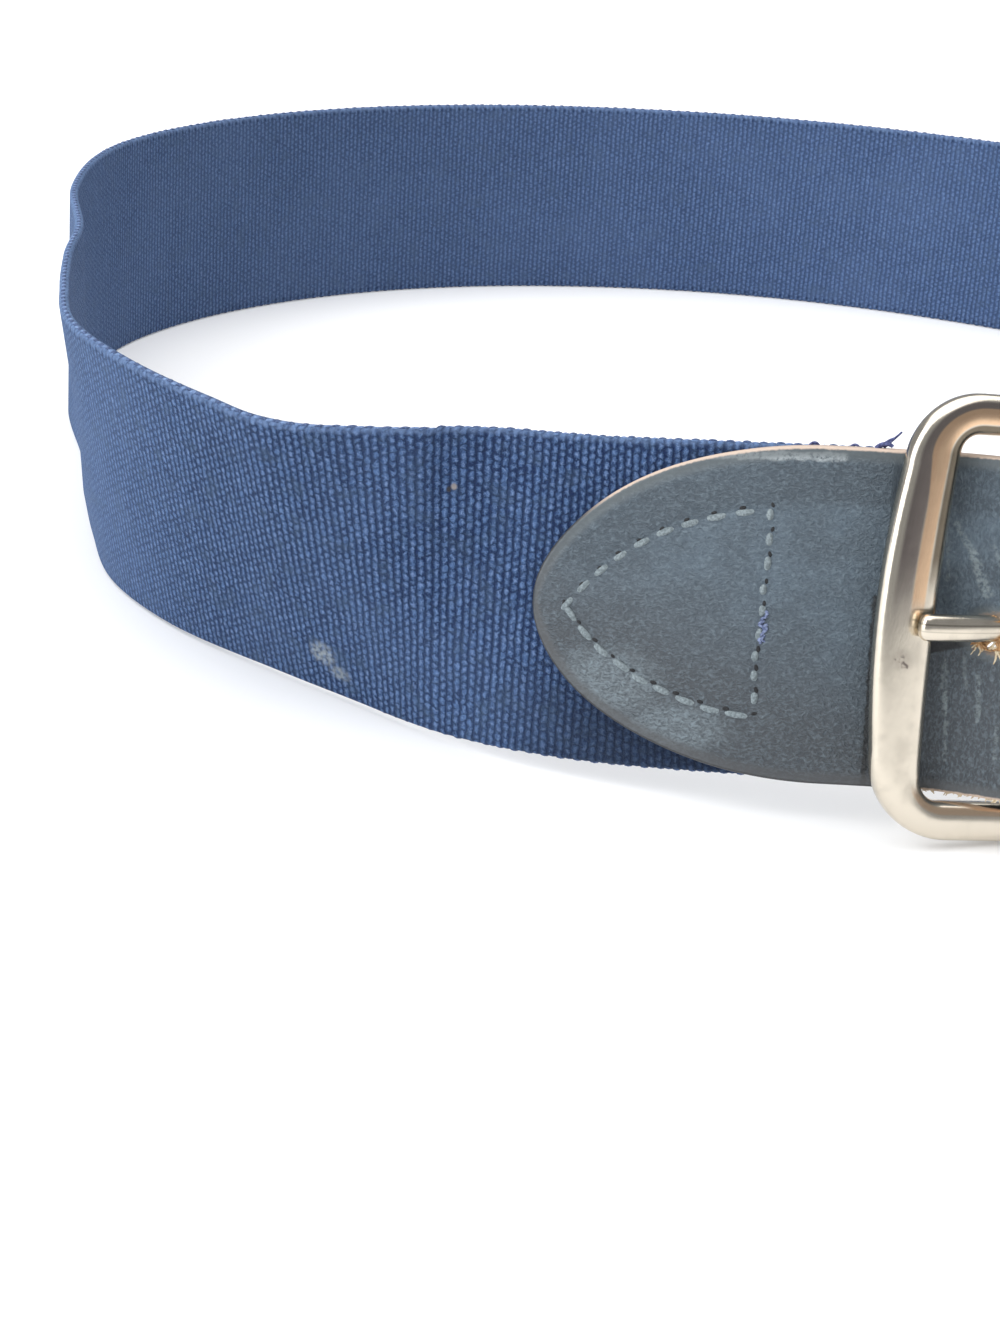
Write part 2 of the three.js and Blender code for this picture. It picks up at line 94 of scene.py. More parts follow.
LOOP_ROWS = (
    LoopRow(-25, 1.066, -10.5, 0.95),
    LoopRow(-15, 1.038, -11.5, 1.0),
    LoopRow(-5, 1.013, -11.5, 1.0),
    LoopRow(4, 0.998, -13.5, 0.82),
    LoopRow(12, 0.977, -12.6, 0.5),
    LoopRow(17, 0.964, -10.0, 0.34),
    LoopRow(21, 0.949, -3.8, 0.22),
    LoopRow(25.5, 0.931, 5.4, 0.14),
    LoopRow(30, 0.915, 12.0, 0.1),
    LoopRow(35, 0.908, 15.0, 0.09),
    LoopRow(40, 0.907, 13.8, 0.08),
    LoopRow(50, 0.915, 10.6, 0.03),
    LoopRow(60, 0.914, 8.8, 0),
    LoopRow(70, 0.896, 6.5, 0),
    LoopRow(80, 0.896, 4, 0),
    LoopRow(92, 0.925, 0.5, 0),
    LoopRow(106, 1.03, -1.5, 0),
    LoopRow(125, 1.17, -1.0, 0),
    LoopRow(150, 1.25, 0, 0),
    LoopRow(180, 1.27, 0, 0),
    LoopRow(210, 1.275, 0, 0),
    LoopRow(235, 1.31, 0, 0),
    LoopRow(260, 1.265, 0, 0),
    LoopRow(285, 1.175, -1.5, 0.08),
    LoopRow(305, 1.115, -4.5, 0.4),
    LoopRow(320, 1.09, -8, 0.75),
)


@dataclass(frozen=True)
class Layers:
    """The sizes that several sub-assemblies share, in millimetres, and the places that follow from them."""

    belt_width: float = 45.0
    loop_radius: float = 130.0
    heel_around: float = -16.3
    web_thickness: float = 1.6
    tab_thickness: float = 2.4
    fold_thickness: float = 2.0
    gap: float = 0.3
    run_out: float = 2.0
    frame_depth: float = 3.8
    front_bar: float = 6.4
    side_bar: float = 4.75
    heel_bar: float = 4.0
    bar_spacing: float = 24.8
    frame_bow: float = 1.4
    heel_height: float = 1.2
    frame_clearance: float = 0.65
    fold_slack: float = 1.35
    tab_sewn_length: float = 44.4
    tab_tail: float = 102.0
    lobe_length: float = 39.0
    lobe_bulge: float = 0.54
    fold_length: float = 62.0
    fold_ramp: float = 14.0
    worn_hole_share: float = 0.46
    rib_pitch: float = 1.12

    @property
    def on_web(self) -> float:
        """Height of the tab's inner face where it lies on the web."""
        return self.web_thickness / 2 + self.gap

    @property
    def on_fold(self) -> float:
        """Height of the tab's inner face where it lies on the folded leather."""
        return self.on_web + self.fold_thickness + self.gap

    @property
    def fold_radius(self) -> float:
        """Radius of the middle of the leather round the heel bar."""
        return self.heel_bar / 2 + self.fold_slack + self.fold_thickness / 2

    @property
    def over_heel(self) -> float:
        """Height of the tab's inner face over the heel bar."""
        return self.heel_height + self.fold_radius + self.fold_thickness / 2 + self.gap

    @property
    def front_bar_height(self) -> float:
        """Height of the front bar's middle, from the slope that clears the tab.

        Returns:
            The height in millimetres.
        """
        back = self.on_web + self.tab_thickness + self.frame_clearance
        slope = (back + self.frame_depth / 2 - self.heel_height) / (self.bar_spacing - self.front_bar / 2)
        return self.heel_height + slope * self.bar_spacing

    @property
    def frame_edge(self) -> float:
        """Place of the frame's outer edge along the strap."""
        return self.bar_spacing + self.front_bar / 2 + self.frame_bow / 2

    @property
    def lobe_tip(self) -> float:
        """Place of the sewn lobe's tip along the strap."""
        return self.frame_edge + self.tab_sewn_length

    @property
    def worn_hole(self) -> float:
        """Place of the hole that the prong goes through."""
        return self.worn_hole_share * self.bar_spacing


LAYERS = Layers()


class StandingLoop:
    """The closed line of the band's middle, with its directions across and out of the band.

    Args:
        layers: The shared sizes.
        web_box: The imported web's lowest and highest corner, in metres, for the loop's lift and place.
    """

    samples = 720
    first_lift = 7.0
    web_bevel = 0.35

    def __init__(self, layers: Layers, web_box: tuple[Vector, Vector]) -> None:
        """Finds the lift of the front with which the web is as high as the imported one, and its place.

        Args:
            layers: Sizes of the belt.
            web_box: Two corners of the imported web's box, in metres.
        """
        self.layers = layers
        self.origin = np.zeros(3)
        lift = self.first_lift
        for _ in range(5):
            self.lay(lift)
            corners = self.web_corners()
            lift += web_box[1][2] / MM - corners[:, 2].max()
        self.lay(lift)
        corners = self.web_corners()
        middle = (corners.min(axis=0) + corners.max(axis=0)) / 2
        wanted = (np.array(web_box[0]) + np.array(web_box[1])) / (2 * MM)
        self.origin = np.array([wanted[0] - middle[0], wanted[1] - middle[1], 0.0])
        self.lift = lift

    @staticmethod
    def column(name: str, around: np.ndarray) -> np.ndarray:
        """A smooth closed curve through one column of the table.

        Args:
            name: The column's name.
            around: Degrees from the front towards -X.

        Returns:
            The column's value at each angle.
        """
        count = len(LOOP_ROWS)
        angles = np.array([row.around for row in LOOP_ROWS], dtype=float)
        values = np.array([getattr(row, name) for row in LOOP_ROWS], dtype=float)
        wide_angles = np.concatenate([angles[-1:] - 360, angles, angles[:2] + 360])
        wide_values = np.concatenate([values[-1:], values, values[:2]])
        slopes = (wide_values[2:] - wide_values[:-2]) / (wide_angles[2:] - wide_angles[:-2])
        turned = angles[0] + np.mod(around - angles[0], 360)
        low = np.clip(np.searchsorted(angles, turned, side="right") - 1, 0, count - 1)
        span = wide_angles[low + 2] - wide_angles[low + 1]
        share = (turned - wide_angles[low + 1]) / span
        blend = share * share * (3 - 2 * share)
        bend = slopes[low] * share * (1 - share) ** 2 - slopes[low + 1] * share**2 * (1 - share)
        return wide_values[low + 1] * (1 - blend) + wide_values[low + 2] * blend + span * bend

    def lower_edge(self, around: np.ndarray, lift: float) -> np.ndarray:
        """The line that the web's lower edge follows.

        Args:
            around: Degrees from the front towards -X.
            lift: Height that the buckle holds the front at.

        Returns:
            One point a row, in millimetres.
        """
        turn = np.radians(around)
        radius = self.layers.loop_radius * self.column("radius", around)
        lean = np.radians(self.column("lean", around))
        drop = self.layers.web_thickness / 2 * np.abs(np.sin(lean))
        height = lift * self.column("lift", around) + drop
        return np.stack([-radius * np.sin(turn), -radius * np.cos(turn), height], axis=1)

    def lay(self, lift: float) -> None:
        """Lays the stations out round the loop for one lift of the front.

        Args:
            lift: Height that the buckle lifts the front by.
        """
        step = 360 / self.samples
        around = self.layers.heel_around + step * np.arange(self.samples + 1)
        along = self.lower_edge(around + step / 2, lift) - self.lower_edge(around - step / 2, lift)
        along /= np.linalg.norm(along, axis=1, keepdims=True)
        out = np.cross(np.array([0.0, 0.0, 1.0]), along)
        out /= np.linalg.norm(out, axis=1, keepdims=True)
        up = np.cross(along, out)
        lean = np.radians(self.column("lean", around))[:, None]
        self.across = up * np.cos(lean) + out * np.sin(lean)
        self.normal = out * np.cos(lean) - up * np.sin(lean)
        self.middle = self.lower_edge(around, lift) + self.across * self.layers.belt_width / 2
        steps = np.linalg.norm(np.diff(self.middle, axis=0), axis=1)
        self.at = np.concatenate([[0.0], np.cumsum(steps)])
        self.length = float(self.at[-1])

    def web_corners(self) -> np.ndarray:
        """The outermost points of the plain web's section at each station, in millimetres.

        Returns:
            Rows of points.
        """
        half = self.layers.belt_width / 2
        face = self.layers.web_thickness / 2
        bevel = self.web_bevel
        places = ((half, face - bevel), (half - bevel, face), (-half, face - bevel), (bevel - half, face))
        corners = [(y, z * side) for y, z in places for side in (1, -1)]
        return np.concatenate([self.middle + self.across * y + self.normal * z for y, z in corners])

    def station(self, along: np.ndarray) -> tuple[np.ndarray, np.ndarray, np.ndarray]:
        """The middle, the direction across and the normal of the band at places along it.

        Args:
            along: Places along the loop.

        Returns:
            Three arrays with a row for each place.
        """
        at = np.mod(along, self.length)
        found = []
        for values in (self.middle, self.across, self.normal):
            found.append(np.stack([np.interp(at, self.at, values[:, i]) for i in range(3)], axis=1))
        across = found[1] / np.linalg.norm(found[1], axis=1, keepdims=True)
        normal = found[2] / np.linalg.norm(found[2], axis=1, keepdims=True)
        return found[0], across, normal

    def bend(self, flat: np.ndarray) -> np.ndarray:
        """Bends points that are drawn flat onto the loop.

        Args:
            flat: Rows of place along, across and out, in millimetres.

        Returns:
            The same points in the frame, in metres.
        """
        middle, across, normal = self.station(flat[:, 0])
        return (middle + across * flat[:, 1:2] + normal * flat[:, 2:3] + self.origin) * MM


def smoothstep(value: np.ndarray, low: float, high: float) -> np.ndarray:
    """A smooth step from 0 at low to 1 at high."""
    share = np.clip((value - low) / (high - low), 0, 1)
    return share * share * (3 - 2 * share)


def eased(at: np.ndarray, rows: Sequence[Pair]) -> np.ndarray:
    """Levels eased from one row of (place, level) to the next.

    Args:
        at: Places.
        rows: Rows of (place, level), in order.

    Returns:
        The level at each place.
    """
    level = np.full(at.shape, rows[0][1], dtype=float)
    for (place, low), (next_place, high) in zip(rows, rows[1:]):
        level = np.where(at >= place, low + (high - low) * smoothstep(at, place, next_place), level)
    return level


def lobe_share(from_tip: np.ndarray, length: float, bulge: float) -> np.ndarray:
    """Share of the half width that a rounded strap end has, from the distance to its tip."""
    share = np.clip(from_tip / length, 0, 1)
    return (1 - (1 - share) ** 2) ** bulge


class Section:
    """Rings of points carried along a path by extruding the first ring's edges."""

    @staticmethod
    def sweep(rings: Sequence[np.ndarray], closed: bool) -> Mesh:
        """Makes a tube through rings of equal length.

        Args:
            rings: Each ring's points, in order round the ring.
            closed: Whether the last ring meets the first; otherwise both ends are filled.

        Returns:
            The tube, with its faces outwards.
        """
        mesh = bmesh.new()
        made = bmesh.ops.create_circle(mesh, cap_ends=False, radius=1.0, segments=len(rings[0]))
        ring = list(made["verts"])
        first = ring
        for vertex, point in zip(ring, rings[0]):
            vertex.co = point
        for points in rings[1:]:
            edges = [Section.between(a, b) for a, b in zip(ring, ring[1:] + ring[:1])]
            grown = bmesh.ops.extrude_edge_only(mesh, edges=edges)
            new = {item for item in grown["geom"] if isinstance(item, bmesh.types.BMVert)}
            ring = [next(e.other_vert(v) for e in v.link_edges if e.other_vert(v) in new) for v in ring]
            for vertex, point in zip(ring, points):
                vertex.co = point
        if closed:
            for vertex, start in zip(ring, first):
                vertex.co = start.co
            bmesh.ops.remove_doubles(mesh, verts=list(set(ring) | set(first)), dist=1e-6)
        else:
            rim = [edge for edge in mesh.edges if edge.is_boundary]
            bmesh.ops.holes_fill(mesh, edges=rim, sides=0)
        bmesh.ops.recalc_face_normals(mesh, faces=mesh.faces)
        return mesh

    @staticmethod
    def between(a: bmesh.types.BMVert, b: bmesh.types.BMVert) -> bmesh.types.BMEdge:
        """The edge that joins two vertices."""
        return next(edge for edge in a.link_edges if edge.other_vert(a) is b)

    @staticmethod
    def round_bar(count: int, power: float) -> np.ndarray:
        """A rounded square of half size 1, as rows of two numbers; it is rounder for a lower power.

        Args:
            count: Number of points.
            power: How square it is; 2 is a circle.

        Returns:
            The rows.
        """
        turn = np.linspace(0, 2 * math.pi, count, endpoint=False)
        circle = np.stack([np.cos(turn), np.sin(turn)], axis=1)
        return np.sign(circle) * np.abs(circle) ** (2 / power)


def tube_rings(path: np.ndarray, radii: Sequence[float], sides: int, flat: float = 1.0) -> list[np.ndarray]:
    """Rings round a path.

    Args:
        path: The path's points.
        radii: One radius for each point.
        sides: Points in a ring.
        flat: Height of a ring over its width.

    Returns:
        The rings, each turned as little as can be from the one before.
    """
    tangents = np.gradient(path, axis=0)
    tangents /= np.linalg.norm(tangents, axis=1, keepdims=True)
    start = np.array([0.0, 0.0, 1.0]) if abs(tangents[0][2]) < 0.9 else np.array([0.0, 1.0, 0.0])
    turn = np.linspace(0, 2 * math.pi, sides, endpoint=False)
    rings = []
    for point, tangent, radius in zip(path, tangents, radii):
        high = start - tangent * float(start @ tangent)
        high /= np.linalg.norm(high)
        wide = np.cross(tangent, high)
        ring = point + radius * (np.outer(np.cos(turn), wide) + flat * np.outer(np.sin(turn), high))
        rings.append(ring)
        start = high
    return rings


def strand(path: np.ndarray, thick: float, thin: float, sides: int, finish: int = 0) -> Mesh:
    """A thread along a path, from its thick end to its thin one, with the index of its finish.

    Args:
        path: Rows of points of its middle line.
        thick: Radius at its start.
        thin: Radius at its end.
        sides: Number of its sides.
        finish: Index of its material.

    Returns:
        The thread's mesh.
    """
    mesh = Section.sweep(tube_rings(path, np.linspace(thick, thin, len(path)), sides), closed=False)
    for face in mesh.faces:
        face.material_index = finish
    return mesh


def rounding(rim: np.ndarray, radius: float) -> np.ndarray:
    """How far a rounded edge falls back, from the distance to the cut edge."""
    return radius - np.sqrt(np.maximum(radius**2 - np.maximum(radius - rim, 0) ** 2, 0))


def points_of(mesh: Mesh) -> np.ndarray:
    """The mesh's vertices as rows."""
    return np.array([vertex.co[:] for vertex in mesh.verts])


def move_points(mesh: Mesh, points: np.ndarray) -> None:
    """Puts the mesh's vertices at new places."""
    for vertex, point in zip(mesh.verts, points):
        vertex.co = point


def join(meshes: Sequence[Mesh]) -> Mesh:
    """Several meshes as one; the others are freed.

    Args:
        meshes: The meshes.

    Returns:
        The one mesh.
    """
    whole = bmesh.new()
    for mesh in meshes:
        held = bpy.data.meshes.new("joined")
        mesh.to_mesh(held)
        mesh.free()
        whole.from_mesh(held)
        bpy.data.meshes.remove(held)
    return whole


def repeated(template: Mesh, count: int) -> Mesh:
    """Many copies of a small mesh in one place, for the caller to move. The small one is freed.

    Args:
        template: The small mesh.
        count: Number of copies.

    Returns:
        The mesh of all the copies.
    """
    held = bpy.data.meshes.new("repeated")
    template.to_mesh(held)
    template.free()
    whole = bmesh.new()
    for _ in range(count):
        whole.from_mesh(held)
    bpy.data.meshes.remove(held)
    return whole


def slab(
    along: Pair, step: float, rows: np.ndarray, thickness: float, ease_ends: float = 0.0
) -> Mesh:
    """A flat closed strap whose y runs from -1 to 1.

    Args:
        along: First and last place along the strap.
        step: Distance between the grid's lines along it.
        rows: The grid's places across the strap, from -1 to 1.
        thickness: Its thickness.
        ease_ends: Share by which the lines close up towards both ends.

    Returns:
        The strap, its middle at z = 0.
    """
    first, last = along
    count = max(2, round((last - first) / step))
    mesh = bmesh.new()
    bmesh.ops.create_grid(mesh, x_segments=count, y_segments=len(rows) - 1, size=0.5)
    bmesh.ops.translate(mesh, vec=(0, 0, -thickness / 2), verts=mesh.verts)
    grown = bmesh.ops.extrude_face_region(mesh, geom=mesh.faces[:])
    lifted = [item for item in grown["geom"] if isinstance(item, bmesh.types.BMVert)]
    bmesh.ops.translate(mesh, vec=(0, 0, thickness), verts=lifted)
    points = points_of(mesh)
    share = np.clip(points[:, 0] + 0.5, 0, 1)
    closed_up = 0.5 - 0.5 * np.cos(math.pi * share)
    points[:, 0] = first + (last - first) * (share + ease_ends * (closed_up - share))
    line = np.linspace(-0.5, 0.5, len(rows))
    points[:, 1] = np.interp(points[:, 1], line, rows)
    move_points(mesh, points)
    bmesh.ops.recalc_face_normals(mesh, faces=mesh.faces)
    return mesh


def edge_rows(half_width: float, margins: Sequence[float], middle: int) -> np.ndarray:
    """Places across a strap, close together near both edges.

    Args:
        half_width: Half the strap's width.
        margins: Distances from the edge, rising from 0.
        middle: Lines in the rest of the width.

    Returns:
        The places, from -1 to 1.
    """
    side = [1 - margin / half_width for margin in margins]
    inner = np.linspace(-side[-1], side[-1], middle)
    return np.array([-place for place in side[:-1]] + list(inner) + side[-2::-1])


def punched(mesh: Mesh, cutters: Sequence[Mesh]) -> Mesh:
    """Cuts other shapes out of a flat piece.

    Args:
        mesh: The piece, which is freed.
        cutters: The shapes, which are freed.

    Returns:
        The piece with its holes.
    """
    held = []
    for name, shape in (("body", mesh), ("cutter", join(cutters))):
        data = bpy.data.meshes.new(name)
        shape.to_mesh(data)
        shape.free()
        item = bpy.data.objects.new(name, data)
        bpy.context.collection.objects.link(item)
        held.append(item)
    body, cutter = held
    cut = body.modifiers.new("holes", "BOOLEAN")
    cut.operation = "DIFFERENCE"
    cut.solver = "EXACT"
    cut.object = cutter
    graph = bpy.context.evaluated_depsgraph_get()
    result = bpy.data.meshes.new_from_object(body.evaluated_get(graph))
    whole = bmesh.new()
    whole.from_mesh(result)
    bpy.data.meshes.remove(result)
    for item in held:
        data = item.data
        bpy.data.objects.remove(item)
        bpy.data.meshes.remove(data)
    bmesh.ops.triangulate(whole, faces=[face for face in whole.faces if len(face.verts) > 4])
    return whole


def slotted_hole(place: float, across: float, length: float, width: float, depth: float) -> Mesh:
    """A cutter for a hole with round ends, drawn flat.

    Args:
        place: Its middle along the strap.
        across: Its middle across the strap.
        length: Its length along.
        width: Its width across.
        depth: Height of the cutter.

    Returns:
        The cutter's mesh.
    """
    mesh = bmesh.new()
    bmesh.ops.create_cone(
        mesh, cap_ends=True, segments=28, radius1=width / 2, radius2=width / 2, depth=depth
    )
    reach = (length - width) / 2
    points = points_of(mesh)
    points[:, 0] += np.sign(np.round(points[:, 0], 4)) * reach + place
    points[:, 1] += across
    move_points(mesh, points)
    return mesh


def finish_piece(
    name: str,
    mesh: Mesh,
    materials: Sequence[Material],
    replaces: Sequence[str] = (),
    sharp: float = 40.0,
    mirrored: bool = False,
) -> bpy.types.Object:
    """Makes a mesh an object of the belt.

    Args:
        name: The piece's name.
        mesh: Its mesh in the frame, which is freed.
        materials: Its materials, in the order of its faces' indices.
        replaces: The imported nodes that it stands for.
        sharp: Degrees between two faces from which their edge shows.
        mirrored: Whether its faces all point inwards so far.

    Returns:
        The object, riding on the belt.
    """
    turn_out = bmesh.ops.reverse_faces if mirrored else bmesh.ops.recalc_face_normals
    turn_out(mesh, faces=mesh.faces)
    data = bpy.data.meshes.new(name)
    mesh.to_mesh(data)
    mesh.free()
    data.shade_smooth()
    data.set_sharp_from_angle(angle=math.radians(sharp))
    for material in materials:
        data.materials.append(material)
    piece = bpy.data.objects.new(name, data)
    bpy.context.collection.objects.link(piece)
    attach(piece, "root")
    if replaces:
        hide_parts(*replaces)
    LOG.info("%s: %d faces", name, len(data.polygons))
    return piece


def mark(mesh: Mesh, place: np.ndarray, rim: np.ndarray) -> None:
    """Keeps each vertex's place on the flat strap or buckle and its distance from the cut edge.

    Args:
        mesh: The mesh, before it is bent.
        place: Rows of place along, across and out.
        rim: Millimetres from each vertex to the nearest cut edge, or its share across a metal bar.
    """
    place_layer = mesh.verts.layers.float_vector.new(PLACE)
    rim_layer = mesh.verts.layers.float.new(RIM)
    for vertex, row, distance in zip(mesh.verts, place, rim):
        vertex[place_layer] = row
        vertex[rim_layer] = float(distance)


class Nodes:
    """Adds shader nodes to one tree and links them.

    Args:
        tree: The node tree of a material, group or world.
    """

    def __init__(self, tree: bpy.types.NodeTree) -> None:
        """Keeps the tree that the nodes are added to."""
        self.tree = tree

    def add(self, kind: str, **settings: object) -> bpy.types.Node:
        """Adds a node of that kind with its settings.

        Args:
            kind: The node's type, without its prefix.
            settings: Its properties.

        Returns:
            The node.
        """
        node = self.tree.nodes.new(f"ShaderNode{kind}")
        for name, value in settings.items():
            setattr(node, name, value)
        return node

    def feed(self, socket: Socket, value: object) -> None:
        """Links a socket, or sets its value.

        Args:
            socket: The input.
            value: A socket, a number or a colour.
        """
        if isinstance(value, Socket):
            self.tree.links.new(value, socket)
        elif isinstance(value, (tuple, list)) and len(value) == 3 and socket.type == "RGBA":
            socket.default_value = (*value, 1.0)
        else:
            socket.default_value = value

    def math(self, operation: str, *values: object, clamp: bool = False) -> Socket:
        """A Math node's result.

        Args:
            operation: The node's operation.
            clamp: Whether the result stays between 0 and 1.
            values: Its inputs.

        Returns:
            The result.
        """
        node = self.add("Math", operation=operation, use_clamp=clamp)
        for socket, value in zip(node.inputs, values):
            self.feed(socket, value)
        return node.outputs[0]

    def times(self, first: object, *others: object) -> Socket:
        """The product of several values.

        Args:
            first: A value.
            others: The values that it is multiplied by.

        Returns:
            The product.
        """
        for other in others:
            first = self.math("MULTIPLY", first, other)
        return first

    def vector(self, operation: str, *values: object) -> Socket:
        """A Vector Math node's vector result.

        Args:
            operation: The node's operation.
            values: Its inputs.

        Returns:
            The result.
        """
        node = self.add("VectorMath", operation=operation)
        for socket, value in zip(node.inputs, values):
            self.feed(socket, value)
        return node.outputs["Vector"]

    def scaled(self, place: object, by: Triple) -> Socket:
        """A vector times another, part by part."""
        return self.vector("MULTIPLY", place, by)

    def split(self, vector: object) -> tuple[Socket, ...]:
        """The three parts of a vector.

        Args:
            vector: The vector.

        Returns:
            Its x, y and z.
        """
        node = self.add("SeparateXYZ")
        self.feed(node.inputs[0], vector)
        return tuple(node.outputs)

    def combine(self, x: object, y: object, z: object) -> Socket:
        """A vector from three parts.

        Args:
            x: Its x.
            y: Its y.
            z: Its z.

        Returns:
            The vector.
        """
        node = self.add("CombineXYZ")
        for socket, value in zip(node.inputs, (x, y, z)):
            self.feed(socket, value)
        return node.outputs[0]

    def step(self, value: object, low: float, high: float) -> Socket:
        """A smooth step of a value from 0 at low to 1 at high; low may be the larger.

        Args:
            value: The value.
            low: Where the step starts.
            high: Where it ends.

        Returns:
            The step's share.
        """
        node = self.add("MapRange", interpolation_type="SMOOTHSTEP", clamp=True)
        self.feed(node.inputs["Value"], value)
        ends = (low, high, 0.0, 1.0) if low < high else (high, low, 1.0, 0.0)
        for name, end in zip(("From Min", "From Max", "To Min", "To Max"), ends):
            node.inputs[name].default_value = end
        return node.outputs["Result"]

    def mix(self, share: object, low: object, high: object, blend: str = "MIX") -> Socket:
        """Two colours mixed.

        Args:
            share: Share of the second colour.
            low: The first colour.
            high: The second colour.
            blend: How they are blended.

        Returns:
            The mixed colour.
        """
        node = self.add("Mix", data_type="RGBA", blend_type=blend, clamp_factor=True)
        self.feed(node.inputs[0], share)
        self.feed(node.inputs[6], low)
        self.feed(node.inputs[7], high)
        return node.outputs[2]

    def lay(self, under: object, colour: object, *masks: object) -> Socket:
        """A colour laid over another where the product of the masks is."""
        return self.mix(self.times(*masks), under, colour)

    def noise(
        self, place: object, scale: float, detail: float = 3.0, rough: float = 0.55, colour: bool = False
    ) -> Socket:
        """A noise texture's value, or its colour as a vector.

        Args:
            place: Where it is read.
            scale: Its scale.
            detail: Number of finer layers.
            rough: Weight of the finer layers.
            colour: Whether a vector is wanted.

        Returns:
            The value or the vector.
        """
        node = self.add("TexNoise", normalize=True)
        self.feed(node.inputs["Vector"], place)
        node.inputs["Scale"].default_value = scale
        node.inputs["Detail"].default_value = detail
        node.inputs["Roughness"].default_value = rough
        return node.outputs["Color" if colour else "Fac"]

    def drift(self, place: object, scale: float, detail: float, by: Triple) -> Socket:
        """The place moved by a smooth random shift, whose parts are up to about half of those given."""
        shift = self.vector("SUBTRACT", self.noise(place, scale, detail, colour=True), (0.5, 0.5, 0.5))
        return self.vector("ADD", place, self.scaled(shift, by))

    def attribute(self, name: str, vector: bool) -> Socket:
        """The piece's own attribute, as a vector or a number."""
        node = self.add("Attribute", attribute_type="GEOMETRY", attribute_name=name)
        return node.outputs["Vector" if vector else "Fac"]

    def spot(self, place: object, at: Pair, size: Pair) -> Socket:
        """1 inside a soft oval on the flat strap and 0 away from it.

        Args:
            place: The vector of places on the strap.
            at: The oval's middle along and across the strap.
            size: Its half length and half width.

        Returns:
            The mask.
        """
        moved = self.vector("SUBTRACT", place, (at[0], at[1], 0.0))
        sized = self.scaled(moved, (1 / size[0], 1 / size[1], 0.0))
        return self.step(self.length(sized), 1.0, 0.35)

    def length(self, vector: object) -> Socket:
        """A vector's length.

        Args:
            vector: The vector.

        Returns:
            Its length.
        """
        node = self.add("VectorMath", operation="LENGTH")
        self.feed(node.inputs[0], vector)
        return node.outputs["Value"]

    def band(self, value: object, low: float, high: float, soft: float) -> Socket:
        """1 where a value lies between low and high, with soft ends.

        Args:
            value: The value.
            low: Lower end.
            high: Upper end.
            soft: Half the width of each soft end.

        Returns:
            The share.
        """
        rise = self.step(value, low - soft, low + soft)
        fall = self.step(value, high + soft, high - soft)
        return self.times(rise, fall)

    def streak(self, place: object, start: Pair, end: Pair, width: float) -> Socket:
        """1 on a thin straight mark on the flat strap and 0 away from it.

        Args:
            place: The vector of places on the strap.
            start: Where the mark starts, along and across the strap.
            end: Where it ends.
            width: Its half width.

        Returns:
            The mask.
        """
        run = (end[0] - start[0], end[1] - start[1], 0.0)
        size = run[0] ** 2 + run[1] ** 2
        flat = self.scaled(place, (1.0, 1.0, 0.0))
        moved = self.vector("SUBTRACT", flat, (start[0], start[1], 0.0))
        dot = self.add("VectorMath", operation="DOT_PRODUCT")
        self.feed(dot.inputs[0], moved)
        self.feed(dot.inputs[1], tuple(part / size for part in run))
        share = self.math("MULTIPLY", dot.outputs["Value"], 1.0, clamp=True)
        nearest = self.add("VectorMath", operation="SCALE")
        self.feed(nearest.inputs[0], run)
        self.feed(nearest.inputs["Scale"], share)
        away = self.length(self.vector("SUBTRACT", moved, nearest.outputs["Vector"]))
        return self.step(away, width, width * 0.3)


def new_group(
    name: str, inputs: dict[str, str], outputs: dict[str, str]
) -> tuple[Nodes, bpy.types.Node, bpy.types.Node]:
    """A shader node group with named sockets.

    Args:
        name: The group's name.
        inputs: Socket types by input name.
        outputs: Socket types by output name.

    Returns:
        The group's nodes, its input node and its output node.
    """
    tree = bpy.data.node_groups.new(name, "ShaderNodeTree")
    for way, sockets in (("INPUT", inputs), ("OUTPUT", outputs)):
        for socket, kind in sockets.items():
            tree.interface.new_socket(name=socket, in_out=way, socket_type=f"NodeSocket{kind}")
    return Nodes(tree), tree.nodes.new("NodeGroupInput"), tree.nodes.new("NodeGroupOutput")


